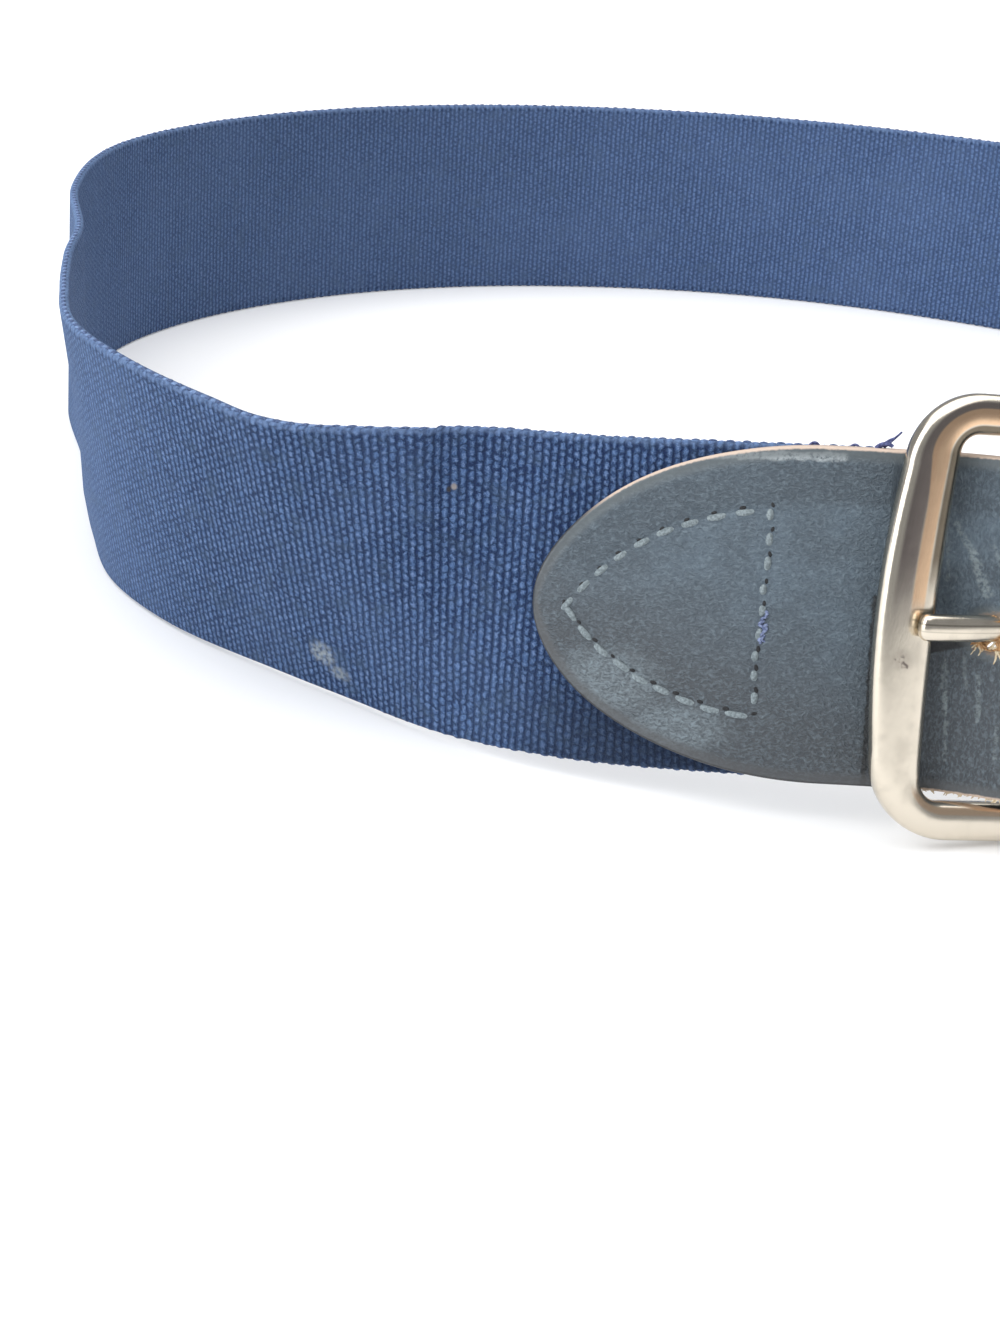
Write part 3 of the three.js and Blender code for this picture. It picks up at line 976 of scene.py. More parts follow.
def weave_group() -> bpy.types.NodeTree:
    """The woven web's relief: uneven warp nubs in ribs that run across the strap.

    Returns:
        The node group.
    """
    nodes, enter, leave = new_group(
        "web_weave",
        {"Place": "Vector", "Column": "Float", "Nub": "Float"},
        {"Height": "Float", "Nubs": "Float", "Shine": "Float", "Tone": "Float"},
    )
    whole = enter.outputs["Place"]
    sway = nodes.vector("SUBTRACT", nodes.drift(whole, 0.3, 2.0, (0.5, 0.5, 0.0)), whole)
    place = nodes.vector("ADD", nodes.drift(whole, 1.5, 1.0, (0.6, 1.3, 0.0)), sway)
    x, y, _ = nodes.split(place)
    column = nodes.math("DIVIDE", x, enter.outputs["Column"])
    which = nodes.math("FLOOR", column)
    shift = nodes.times(nodes.math("MODULO", which, 2.0), 0.5)
    row = nodes.math("ADD", nodes.math("DIVIDE", y, enter.outputs["Nub"]), shift)
    which_row = nodes.math("FLOOR", row)
    across = nodes.math("MULTIPLY_ADD", nodes.math("FRACT", column), 2.0, -1.0)
    along = nodes.math("MULTIPLY_ADD", nodes.math("FRACT", row), 2.0, -1.0)
    rib = nodes.math("SUBTRACT", 1.0, nodes.math("POWER", nodes.math("ABSOLUTE", across), 2.0))
    nub = nodes.math("SUBTRACT", 1.0, nodes.math("POWER", nodes.math("ABSOLUTE", along), 2.0))
    evenness = nodes.noise(whole, 0.8, 2.0)
    depth = nodes.math("MULTIPLY_ADD", nodes.step(evenness, 0.3, 0.7), 0.5, 0.32)
    hollow = nodes.times(nodes.math("SUBTRACT", 1.0, nub), depth)
    body = nodes.times(rib, nodes.math("SUBTRACT", 1.0, hollow))
    random_tone = nodes.add("TexWhiteNoise", noise_dimensions="3D")
    nodes.feed(random_tone.inputs["Vector"], nodes.combine(which, which_row, 0.0))
    fibres = nodes.noise(nodes.scaled(place, (3.4, 5.4, 1.0)), 1.0, detail=4.0, rough=0.7)
    height = nodes.math("MULTIPLY_ADD", nodes.math("SUBTRACT", fibres, 0.5), 1.7, body)
    lifted = nodes.math("MULTIPLY_ADD", random_tone.outputs["Value"], 0.15, height)
    nodes.feed(leave.inputs["Height"], lifted)
    nodes.feed(leave.inputs["Nubs"], nodes.step(height, 0.22, 1.12))
    # Shine marks the nub crests, where the web's colour has a painted highlight
    nodes.feed(leave.inputs["Shine"], nodes.step(nodes.math("ADD", lifted, -0.08), 0.78, 1.25))
    nodes.feed(leave.inputs["Tone"], random_tone.outputs["Value"])
    return nodes.tree


def grain_group() -> bpy.types.NodeTree:
    """Fine leather grain: short creases along the strap, pale flecks and a soft blotching.

    Returns:
        The node group.
    """
    nodes, enter, leave = new_group(
        "leather_grain",
        {"Place": "Vector", "Scale": "Float"},
        {"Height": "Float", "Blotch": "Float", "Fleck": "Float"},
    )
    sized = nodes.add("VectorMath", operation="SCALE")
    nodes.feed(sized.inputs[0], enter.outputs["Place"])
    nodes.feed(sized.inputs["Scale"], enter.outputs["Scale"])
    place = sized.outputs["Vector"]
    bent = nodes.drift(place, 0.7, 2.0, (1.4, 1.4, 0.4))
    cells = nodes.add("TexVoronoi", feature="SMOOTH_F1")
    nodes.feed(cells.inputs["Vector"], nodes.scaled(bent, (1.0, 1.7, 1.0)))
    cells.inputs["Scale"].default_value = 1.8
    cells.inputs["Smoothness"].default_value = 0.5
    creases = nodes.noise(nodes.scaled(bent, (1.2, 2.5, 1.0)), 0.9, detail=5.0, rough=0.65)
    fine = nodes.noise(place, 5.5, detail=2.0, rough=0.6)
    height = nodes.math("MULTIPLY_ADD", creases, 0.8, nodes.times(cells.outputs["Distance"], 0.4))
    height = nodes.math("MULTIPLY_ADD", fine, 0.25, height)
    nodes.feed(leave.inputs["Height"], height)
    nodes.feed(leave.inputs["Blotch"], nodes.noise(place, 0.11, detail=3.0, rough=0.6))
    flecks = nodes.noise(nodes.scaled(bent, (1.1, 3.0, 1.0)), 1.0, detail=4.0, rough=0.68)
    nodes.feed(leave.inputs["Fleck"], nodes.step(flecks, 0.5, 0.74))
    return nodes.tree


def place_group(nodes: Nodes, tree: bpy.types.NodeTree, **values: object) -> bpy.types.Node:
    """A group node with its inputs fed.

    Args:
        nodes: The material's nodes.
        tree: The group.
        values: The inputs' values or sockets, by name.

    Returns:
        The group's node.
    """
    node = nodes.tree.nodes.new("ShaderNodeGroup")
    node.node_tree = tree
    for name, value in values.items():
        nodes.feed(node.inputs[name], value)
    return node


def new_material(name: str, **settings: object) -> tuple[Material, Nodes, bpy.types.Node]:
    """A material with its nodes and its Principled shader.

    The settings name the shader's inputs in small letters, with _ for a space.

    Args:
        name: Its name.
        settings: Values of the shader's inputs.

    Returns:
        The material, its nodes and its shader.
    """
    material = bpy.data.materials.new(name)
    material.use_nodes = True
    shader = material.node_tree.nodes["Principled BSDF"]
    for socket in shader.inputs:
        key = socket.name.lower().replace(" ", "_")
        if key in settings:
            socket.default_value = settings[key]
    return material, Nodes(material.node_tree), shader


def bump(nodes: Nodes, shader: bpy.types.Node, height: object, distance: float) -> None:
    """Feeds a relief to the shader; distance is the relief's height in metres.

    Args:
        nodes: The material's nodes.
        shader: The shader.
        height: The relief, from 0 to 1.
        distance: Its height in metres.
    """
    node = nodes.add("Bump")
    node.inputs["Strength"].default_value = 1.0
    node.inputs["Distance"].default_value = distance
    nodes.feed(node.inputs["Height"], height)
    nodes.feed(shader.inputs["Normal"], node.outputs["Normal"])


@dataclass(frozen=True)
class WebFinish:
    """The navy elastic web: colours are linear, lengths in millimetres."""

    nub_colour: Triple = (0.112, 0.212, 0.445)
    painted_highlight_colour: Triple = (0.270, 0.380, 0.640)
    gap_colour: Triple = (0.0095, 0.026, 0.095)
    mottle_colour: Triple = (0.045, 0.080, 0.145)
    nub_pitch: float = 1.15
    relief: float = 0.00034
    dust_colour: Triple = (0.42, 0.47, 0.50)
    speck_colour: Triple = (0.38, 0.34, 0.33)
    speck_shadow: Triple = (0.045, 0.040, 0.045)
    tone: Triple = (0.72, 0.74, 0.80)
    # Paler tone for random faded patches and for the painted light on the web away from the buckle
    faded_and_lit: Triple = (0.17, 0.26, 0.48)
    # Painted shade on the web's lower part below the lobe
    painted_low_shade: Triple = (0.012, 0.019, 0.042)
    selvedge: Triple = (0.20, 0.305, 0.54)

    def build(self, weave: bpy.types.NodeTree) -> Material:
        """Makes the material around the weave group.

        Args:
            weave: The weave's node group.

        Returns:
            The material.
        """
        material, nodes, shader = new_material(
            "navy_elastic_web",
            roughness=0.9,
            sheen_weight=0.14,
            sheen_tint=(0.50, 0.72, 1.0, 1.0),
            sheen_roughness=0.5,
            specular_ior_level=0.2,
        )
        place = nodes.attribute(PLACE, vector=True)
        woven = place_group(nodes, weave, Place=place, Column=LAYERS.rib_pitch, Nub=self.nub_pitch)
        colour = nodes.mix(woven.outputs["Nubs"], self.gap_colour, self.nub_colour)
        # Painted highlight on the nub crests
        colour = nodes.lay(colour, self.painted_highlight_colour, woven.outputs["Shine"], 0.8)
        shade = nodes.times(woven.outputs["Tone"], 0.6)
        toned = nodes.mix(shade, colour, self.tone, "MULTIPLY")
        mottle = nodes.step(nodes.noise(place, 0.28, detail=3.0), 0.50, 0.72)
        dulled = nodes.lay(toned, self.mottle_colour, mottle, 0.45)
        # Random faded patches, and painted light that brightens the web from 120 mm along the strap on
        faded = nodes.step(nodes.noise(place, 0.035, detail=3.0), 0.40, 0.68)
        x, y, _ = nodes.split(place)
        faded_and_lit = nodes.times(nodes.step(x, 120.0, 175.0), 0.32)
        faded_and_lit_colour = nodes.mix(nodes.math("MULTIPLY_ADD", faded, 0.10, faded_and_lit), dulled, self.faded_and_lit)
        stained = nodes.mix(self.stains(nodes, place), self.edged(nodes, place, faded_and_lit_colour), self.dust_colour)
        # Painted shade on the web's lower part below the lobe
        low = nodes.times(nodes.step(x, 84.0, 60.0), nodes.step(y, -5.0, -17.0))
        shaded_low_web = nodes.lay(stained, self.painted_low_shade, low, 0.74)
        pale = nodes.mix(nodes.spot(place, (85.7, 14.1), (0.55, 0.65)), shaded_low_web, self.speck_colour)
        dark = nodes.spot(place, (86.4, 13.7), (0.45, 0.6))
        nodes.feed(shader.inputs["Base Color"], nodes.mix(dark, pale, self.speck_shadow))
        bump(nodes, shader, woven.outputs["Height"], self.relief)
        return material

    def edged(self, nodes: Nodes, place: Socket, colour: Socket) -> Socket:
        """The selvedge's paler thread, drawn only on the upper edge with the lower edge left dark as
        painted shade, and the dark eyes where its thread turns back at every second rib.

        Args:
            nodes: The material's nodes.
            place: The place on the flat strap.
            colour: The colour so far.

        Returns:
            The colour with the selvedge.
        """
        edges = nodes.attribute(RIM, vector=False)
        x, y, _ = nodes.split(place)
        # The paler thread is drawn on the upper edge only; the lower edge stays dark as painted shade
        top = nodes.times(nodes.step(edges, 1.1, 0.4), nodes.step(y, -1.0, 1.0))
        uneven = nodes.math("MULTIPLY_ADD", nodes.step(nodes.noise(place, 1.3), 0.35, 0.65), 0.45, 0.25)
        pale = nodes.lay(colour, self.selvedge, top, uneven)
        turns = nodes.math("FRACT", nodes.math("DIVIDE", x, 2 * LAYERS.rib_pitch))
        beside = nodes.math("ABSOLUTE", nodes.math("SUBTRACT", turns, 0.5))
        eyes = nodes.times(nodes.step(beside, 0.24, 0.06), nodes.band(edges, 0.5, 1.2, 0.3))
        return nodes.lay(pale, self.gap_colour, eyes, 0.6)

    def stains(self, nodes: Nodes, place: Socket) -> Socket:
        """The two pale dusty marks near the lower edge, broken up by the weave.

        Args:
            nodes: The material's nodes.
            place: The place on the flat strap.

        Returns:
            The share of dust.
        """
        first = nodes.spot(place, (108.4, -15.4), (3.2, 2.6))
        second = nodes.spot(place, (105.6, -18.0), (2.6, 1.6))
        both = nodes.math("MAXIMUM", first, nodes.times(second, 0.75))
        broken = nodes.step(nodes.noise(place, 1.2, detail=3.0), 0.36, 0.62)
        return nodes.times(both, nodes.math("MULTIPLY_ADD", broken, 0.70, 0.16))


@dataclass(frozen=True)
class LeatherFinish:
    """The slate-blue leather with its tan core at the cut edges."""

    colour: Triple = (0.079, 0.111, 0.143)
    pale: Triple = (0.195, 0.255, 0.300)
    dark: Triple = (0.040, 0.056, 0.073)
    # Painted shade for the leather's lower part and the lower part of the buckle's window
    low: Triple = (0.044, 0.050, 0.058)
    rim: Triple = (0.100, 0.116, 0.122)
    core: Triple = (0.54, 0.42, 0.34)
    # Painted shade on the rounded edge's lower part
    low_rim: Triple = (0.068, 0.070, 0.074)
    shaded_core: Triple = (0.030, 0.032, 0.036)
    torn: Triple = (0.42, 0.21, 0.075)
    scratch: Triple = (0.25, 0.30, 0.31)
    glint: Triple = (0.55, 0.60, 0.62)
    # Painted sheen on the lobe's lower part
    painted_sheen: Triple = (0.28, 0.35, 0.39)
    # Painted shadow in the gap beside the frame's outer edge
    painted_gap_shadow: Triple = (0.012, 0.014, 0.016)
    shadow: Triple = (0.013, 0.014, 0.016)
    relief: float = 0.00030

    def build(self, name: str, grain: bpy.types.NodeTree, worn: bool) -> Material:
        """Makes the material.

        Args:
            name: Its name.
            grain: The leather grain group.
            worn: Whether it has the tab's own marks.

        Returns:
            The material.
        """
        material, nodes, shader = new_material(name, specular_ior_level=0.5)
        place = nodes.attribute(PLACE, vector=True)
        rim = nodes.attribute(RIM, vector=False)
        along, across, _ = nodes.split(place)
        turned_grain = nodes.mix(nodes.step(along, 27.0, 25.5), place, nodes.combine(across, along, 0.0))
        skin = place_group(nodes, grain, Place=turned_grain, Scale=1.18)
        blotched = nodes.mix(nodes.step(skin.outputs["Blotch"], 0.36, 0.64), self.dark, self.colour)
        body = nodes.mix(0.48, blotched, self.colour)
        # Painted shade: darker towards the lower edge
        lower = nodes.step(nodes.math("MULTIPLY_ADD", along, -0.35, across), -8.0, -31.0)
        body = nodes.lay(body, self.low, lower, 0.95)
        # Painted shade in the lower part of the buckle's window
        inside = nodes.times(nodes.step(along, 25.0, 22.0), nodes.step(across, 1.5, -4.0))
        body = nodes.lay(body, self.low, inside, 0.85)
        # A darker band inside the upper edge: partly the smoother rim leather, partly painted shade
        beside = nodes.times(nodes.step(rim, 8.6, 6.6), nodes.step(across, 2.0, 8.0))
        body = nodes.lay(body, self.dark, beside, 0.72)
        height = skin.outputs["Height"]
        crests = nodes.lay(body, self.pale, nodes.step(height, 0.66, 0.92), 0.27)
        creased = nodes.lay(crests, self.dark, nodes.step(height, 0.68, 0.46), 0.56)
        flecked = nodes.lay(creased, self.pale, skin.outputs["Fleck"], 0.38)
        if worn:
            flecked, height = self.marks(nodes, place, flecked, height)
        turned = nodes.step(rim, 2.3, 0.9)
        # Painted shade: the rounded edge is darker towards the lower edge
        rounded = nodes.mix(lower, self.rim, self.low_rim)
        smooth = nodes.lay(flecked, rounded, turned, 0.75)
        jitter = nodes.times(nodes.noise(place, 1.7, detail=3.0), 0.35)
        upper = nodes.step(nodes.math("MULTIPLY_ADD", along, -0.30, across), -11.0, -3.0)
        window = nodes.step(along, 23.0, 21.0)
        bared = nodes.math("MAXIMUM", upper, window)
        # The tan core shows on the upper cut edges and in the window; the other cut edges are painted in
        # shade
        cut = nodes.step(nodes.math("ADD", rim, jitter), 0.66, 0.40)
        edged = nodes.lay(smooth, self.core, cut, bared)
        shadowed = nodes.times(cut, nodes.math("SUBTRACT", 1.0, bared))
        nodes.feed(shader.inputs["Base Color"], nodes.mix(shadowed, edged, self.shaded_core))
        gloss = nodes.math("MULTIPLY_ADD", skin.outputs["Blotch"], 0.2, 0.36)
        nodes.feed(shader.inputs["Roughness"], gloss)
        flatter = nodes.times(height, nodes.math("MULTIPLY_ADD", turned, -0.85, 1.0))
        bump(nodes, shader, flatter, self.relief)
        return material

    def marks(self, nodes: Nodes, place: Socket, colour: Socket, height: Socket) -> tuple[Socket, Socket]:
        """The tab's scratches, a painted highlight along the upper edge, a painted sheen on the lobe,
        painted shadows beside the frame and under the prong, and the torn leather round the worn hole.

        Args:
            nodes: The material's nodes.
            place: Place on the strap.
            colour: The leather's colour.
            height: Its relief.

        Returns:
            The colour and the relief with the marks.
        """
        ragged = nodes.noise(place, 1.5, detail=3.0, rough=0.7)
        bent = nodes.drift(place, 0.9, 2.0, (0.9, 0.9, 0.0))
        # Each scratch: where it starts and ends on the strap, its half width and its strength
        rows = (
            ((18.6, 13.4), (16.3, 9.6), 0.6, 0.5),
            ((16.3, 9.6), (14.3, 4.8), 0.9, 0.6),
            ((14.2, 11.0), (11.0, 5.0), 0.5, 0.4),
            ((20.2, 17.5), (19.0, 6.0), 0.35, 0.3),
            ((18.5, -4.6), (17.9, -11.5), 0.55, 0.4),
            ((18.0, -9.0), (17.2, -18.1), 0.35, 0.45),
            ((14.3, -6.2), (13.9, -12.2), 0.4, 0.5),
            ((11.7, -11.5), (11.5, -17.2), 0.3, 0.4),
            ((16.2, -3.8), (15.6, -8.0), 0.35, 0.3),
        )
        for start, end, width, strength in rows:
            mask = nodes.times(nodes.streak(bent, start, end, width), nodes.step(ragged, 0.36, 0.6))
            colour = nodes.lay(colour, self.scratch, mask, strength)
        # Painted highlight along the upper edge
        glint = nodes.streak(bent, (50.0, 20.6), (33.0, 21.3), 0.75)
        glint = nodes.times(glint, nodes.step(ragged, 0.30, 0.55))
        colour = nodes.lay(colour, self.glint, glint, 0.75)
        # Painted sheen on the lower part of the lobe, on the grain's crests
        spots = [nodes.spot(place, (62.0, -10.5), (9.5, 6.5)), nodes.spot(place, (53.0, -16.0), (9.5, 4.6))]
        painted_sheen = nodes.times(nodes.math("MAXIMUM", *spots), nodes.step(height, 0.40, 0.90))
        colour = nodes.lay(colour, self.painted_sheen, painted_sheen, 0.38)
        # Painted shadow in the gap beside the frame's outer edge
        painted_gap_shadow = nodes.streak(bent, (27.8, -23.0), (28.0, 3.0), 0.55)
        colour = nodes.lay(colour, self.painted_gap_shadow, painted_gap_shadow, 0.9)
        along, across, _ = nodes.split(place)
        # Painted shadow under the prong, wedge-shaped
        under = nodes.math("MULTIPLY_ADD", along, 0.32, across)
        wedge = nodes.times(nodes.step(under, 2.35, 2.8), nodes.step(across, -0.8, -1.6))
        wedge = nodes.times(wedge, nodes.band(along, 14.8, 23.5, 0.4))
        colour = nodes.lay(colour, self.shadow, wedge, 0.92)
        hole = nodes.vector("SUBTRACT", place, (LAYERS.worn_hole, -0.4, 0.0))
        away = nodes.length(nodes.scaled(hole, (1 / 5.3, 1 / 3.7, 0.0)))
        frayed = nodes.step(nodes.math("MULTIPLY_ADD", ragged, 0.42, away), 1.12, 0.98)
        colour = nodes.mix(frayed, colour, self.torn)
        return colour, nodes.math("MULTIPLY_ADD", frayed, nodes.times(ragged, 2.0), height)


@dataclass(frozen=True)
class MetalFinish:
    """Polished pale nickel with a worn scuff and bands of painted reflection, the copper ones partly
    plating worn thin.
    """

    colour: Triple = (0.69, 0.625, 0.525)
    dull: Triple = (0.62, 0.56, 0.47)
    # Partly plating worn thin, partly painted reflection
    copper: Triple = (0.84, 0.56, 0.35)
    # Painted reflection
    grey: Triple = (0.29, 0.245, 0.225)
    # Painted dark reflection
    olive: Triple = (0.075, 0.055, 0.032)
    scuffed: Triple = (0.10, 0.07, 0.07)
    roughness: float = 0.16

    def build(self, name: str, banded: bool) -> Material:
        """Makes the material from the buckle's own coordinates.

        Args:
            name: Its name.
            banded: Whether it has the frame's bands of worn plating and painted reflection, or the prong's
                lines of painted dark reflection.

        Returns:
            The material.
        """
        material, nodes, shader = new_material(name, metallic=1.0)
        place = nodes.attribute(PLACE, vector=True)
        smear = nodes.noise(place, 0.35, detail=4.0)
        colour = nodes.mix(nodes.step(smear, 0.45, 0.7), self.colour, self.dull)
        colour = self.bands(nodes, place, colour) if banded else self.lines(nodes, place, colour)
        nodes.feed(shader.inputs["Base Color"], colour)
        gloss = nodes.math("MULTIPLY_ADD", smear, 0.14, self.roughness - 0.04)
        nodes.feed(shader.inputs["Roughness"], gloss)
        scratches = nodes.noise(nodes.scaled(place, (9.0, 0.7, 3.0)), 1.0, detail=3.0)
        bump(nodes, shader, scratches, 0.00001)
        return material

    def bands(self, nodes: Nodes, place: Socket, colour: Socket) -> Socket:
        """Copper bands, partly plating worn thin and partly painted reflection, a grey band and a dark
        olive line of painted reflection, and a dark scuff.

        Args:
            nodes: The material's nodes.
            place: The place in the buckle's own coordinates.
            colour: The colour so far.

        Returns:
            The colour with these bands and the scuff.
        """
        x, y, _ = nodes.split(place)
        share = nodes.attribute(RIM, vector=False)
        upper = nodes.step(y, -0.5, 3.5)
        far = nodes.step(x, -1.0, -9.0)
        # Painted reflection: a grey band on the outer half of the bar's upper part, away from the heel bar
        painted_grey_reflection = nodes.times(nodes.band(share, 0.06, 0.66, 0.08), nodes.step(y, -3.0, 9.0))
        colour = nodes.lay(colour, self.grey, painted_grey_reflection, far, 0.95)
        # Copper bands: partly plating worn thin, partly painted reflection
        raised = nodes.math("MULTIPLY_ADD", nodes.step(y, 14.0, 25.0), -0.30, share)
        strips = [nodes.band(value, -0.42, 0.04, 0.05) for value in (share, raised)]
        thin = nodes.times(nodes.math("MAXIMUM", *strips), upper)
        colour = nodes.lay(colour, self.copper, thin, far, 0.9)
        # Painted dark reflection: an olive line on the bar's inner side, upper part
        edge = nodes.times(nodes.band(share, -0.82, -0.47, 0.06), nodes.step(y, 1.0, 9.0))
        colour = nodes.lay(colour, self.olive, edge, far, 0.85)
        # The same copper band on the lower bar's inner side
        low = nodes.times(nodes.band(share, -0.78, -0.42, 0.08), nodes.step(y, -21.5, -24.0))
        colour = nodes.lay(colour, self.copper, low, 0.65)
        flat = nodes.combine(nodes.times(share, 3.2), y, 0.0)
        ragged = nodes.step(nodes.noise(place, 1.9, detail=3.0), 0.40, 0.58)
        first = nodes.streak(flat, (1.1, -5.1), (-0.2, -6.1), 0.38)
        scuff = nodes.math("MAXIMUM", first, nodes.streak(flat, (0.5, -4.7), (0.3, -6.2), 0.34))
        smear = nodes.times(nodes.spot(flat, (0.5, -5.2), (1.5, 2.0)), 0.22)
        scuff = nodes.math("MAXIMUM", nodes.times(scuff, ragged), smear)
        return nodes.lay(colour, self.scuffed, scuff, 0.85)

    def lines(self, nodes: Nodes, place: Socket, colour: Socket) -> Socket:
        """The two dull lines of painted dark reflection that run along the prong.

        Args:
            nodes: The material's nodes.
            place: The place in the buckle's own coordinates.
            colour: The colour so far.

        Returns:
            The colour with them.
        """
        _, y, _ = nodes.split(place)
        # Painted dark reflections along the prong
        first = nodes.band(y, -0.10, 0.12, 0.08)
        second = nodes.times(nodes.band(y, -1.0, -0.84, 0.08), 0.6)
        return nodes.lay(colour, self.olive, nodes.math("MAXIMUM", first, second), 0.5)


@dataclass(frozen=True)
class PlainFinish:
    """A finish of one tone with a fine fleck, for thread and thread holes."""

    name: str
    colour: Triple
    shade: Triple
    roughness: float = 0.8
    fleck: float = 3.0

    def build(self) -> Material:
        """Makes the material on Object coordinates, in millimetres.

        Returns:
            The material.
        """
        material, nodes, shader = new_material(self.name, roughness=self.roughness)
        place = nodes.scaled(nodes.add("TexCoord").outputs["Object"], (1000.0, 1000.0, 1000.0))
        tone = nodes.step(nodes.noise(place, self.fleck, detail=2.0), 0.3, 0.7)
        nodes.feed(shader.inputs["Base Color"], nodes.mix(tone, self.shade, self.colour))
        bump(nodes, shader, tone, 0.00005)
        return material


@dataclass
class ElasticWeb:
    """The woven elastic band with its selvedge loops and frayed end."""

    loop: StandingLoop
    step: float = 1.4
    edge_round: float = 0.55
    end_at_tab: float = 1.5
    end_at_fold: float = 8.0
    edge_inset: float = 0.2
    loop_thread: float = 0.2

    @property
    def first(self) -> float:
        """Where the web starts, under the tab."""
        return LAYERS.frame_edge - self.end_at_tab

    @property
    def last(self) -> float:
        """Where the web ends, inside the fold."""
        return self.loop.length - self.end_at_fold

    def band(self, material: Material) -> bpy.types.Object:
        """Builds the band.

        Args:
            material: Its material.

        Returns:
            The object, riding on the belt.
        """
        half = LAYERS.belt_width / 2
        rows = edge_rows(half, (0.0, 0.12, 0.3, 0.55, 1.1, 1.9), 18)
        mesh = slab((self.first, self.last), self.step, rows, LAYERS.web_thickness)
        points = points_of(mesh)
        points[:, 1] *= half - self.edge_inset
        ends = np.minimum(points[:, 0] - self.first, self.last - points[:, 0])
        rim = np.minimum(half - self.edge_inset - np.abs(points[:, 1]), np.where(ends < 0.01, 0.0, 9.0))
        points[:, 2] -= np.sign(points[:, 2]) * rounding(rim, self.edge_round)
        mark(mesh, points, rim)
        move_points(mesh, self.loop.bend(points))
        return finish_piece("web_band", mesh, [material], ["elastic_web"], mirrored=True)

    def selvedges(self, pale: Material, dark: Material) -> bpy.types.Object:
        """Builds the thread's turns along both edges, one for each rib; on the upper edge every second one
        is darker, and on the lower edge all of them are darker, as painted shade.

        Args:
            pale: The loops' material.
            dark: Every second loop's material on the upper edge, and every loop's on the lower edge, as
                painted shade.

        Returns:
            The object, riding on the belt.
        """
        rng = random.Random(5)
        turn = np.linspace(0, math.pi, 5)
        reach = 0.46 * LAYERS.rib_pitch
        path = np.stack([-reach * np.cos(turn), 0.24 * np.sin(turn), np.zeros(5)], axis=1)
        template = Section.sweep(tube_rings(path, [self.loop_thread] * 5, 6, 1.9), closed=False)
        each, faces = len(template.verts), len(template.faces)
        ribs = int((self.last - self.first - 2) / LAYERS.rib_pitch)
        mesh = repeated(template, 2 * ribs)
        points = points_of(mesh).reshape(2 * ribs, each, 3)
        for i in range(2 * ribs):
            side = 1 if i < ribs else -1
            out = 0.06 if i % 2 else -0.04
            edge = LAYERS.belt_width / 2 - 0.46 + out + rng.uniform(-0.04, 0.03)
            points[i, :, 1] = side * (points[i, :, 1] + edge)
            rib = math.ceil(self.first / LAYERS.rib_pitch) + i % ribs + 0.5
            points[i, :, 0] += rib * LAYERS.rib_pitch
            points[i, :, 2] += rng.uniform(-0.08, 0.08)
        # Loops on the lower edge all take the dark material: painted shade
        for i, face in enumerate(mesh.faces):
            face.material_index = 1 if i >= faces * ribs else (i // faces) % 2
        move_points(mesh, self.loop.bend(points.reshape(-1, 3)))
        return finish_piece("web_selvedge", mesh, [pale, dark], sharp=75)

    def frayed_threads(self, material: Material) -> bpy.types.Object:
        """Builds the loose thread ends at the web's cut corner, beside the buckle, and two small ones.

        Args:
            material: Its material.

        Returns:
            The object, riding on the belt.
        """
        # Each thread: four places along, across and out that it bends between, and its radius
        rows = (
            (((29.0, 22.4, 1.9), (28.4, 23.2, 2.2), (27.6, 23.3, 2.5), (27.1, 22.8, 2.6)), 0.38),
            (((28.1, 22.6, 1.9), (27.5, 23.3, 2.4), (26.8, 24.1, 2.8), (26.2, 24.8, 2.9)), 0.20),
            (((28.9, 22.3, 1.6), (28.0, 23.3, 2.1), (27.3, 23.9, 2.3), (26.9, 23.9, 2.2)), 0.18),
            (((37.2, 22.2, 0.8), (36.9, 22.9, 1.2), (36.3, 22.9, 1.4), (36.0, 22.3, 1.3)), 0.24),
            (((32.1, 22.2, 0.8), (31.8, 22.9, 1.2), (31.3, 22.8, 1.4), (31.0, 22.3, 1.3)), 0.22),
        )
        meshes = []
        for knots, radius in rows:
            share = np.linspace(0, 1, 9)[:, None]
            a, b, c, d = (np.array(knot) for knot in knots)
            near = (1 - share) ** 3 * a + 3 * share * (1 - share) ** 2 * b
            path = near + 3 * share**2 * (1 - share) * c + share**3 * d
            meshes.append(strand(path, radius, radius * 0.65, 7))
        mesh = join(meshes)
        move_points(mesh, self.loop.bend(points_of(mesh)))
        return finish_piece("web_loose_threads", mesh, [material], sharp=75)


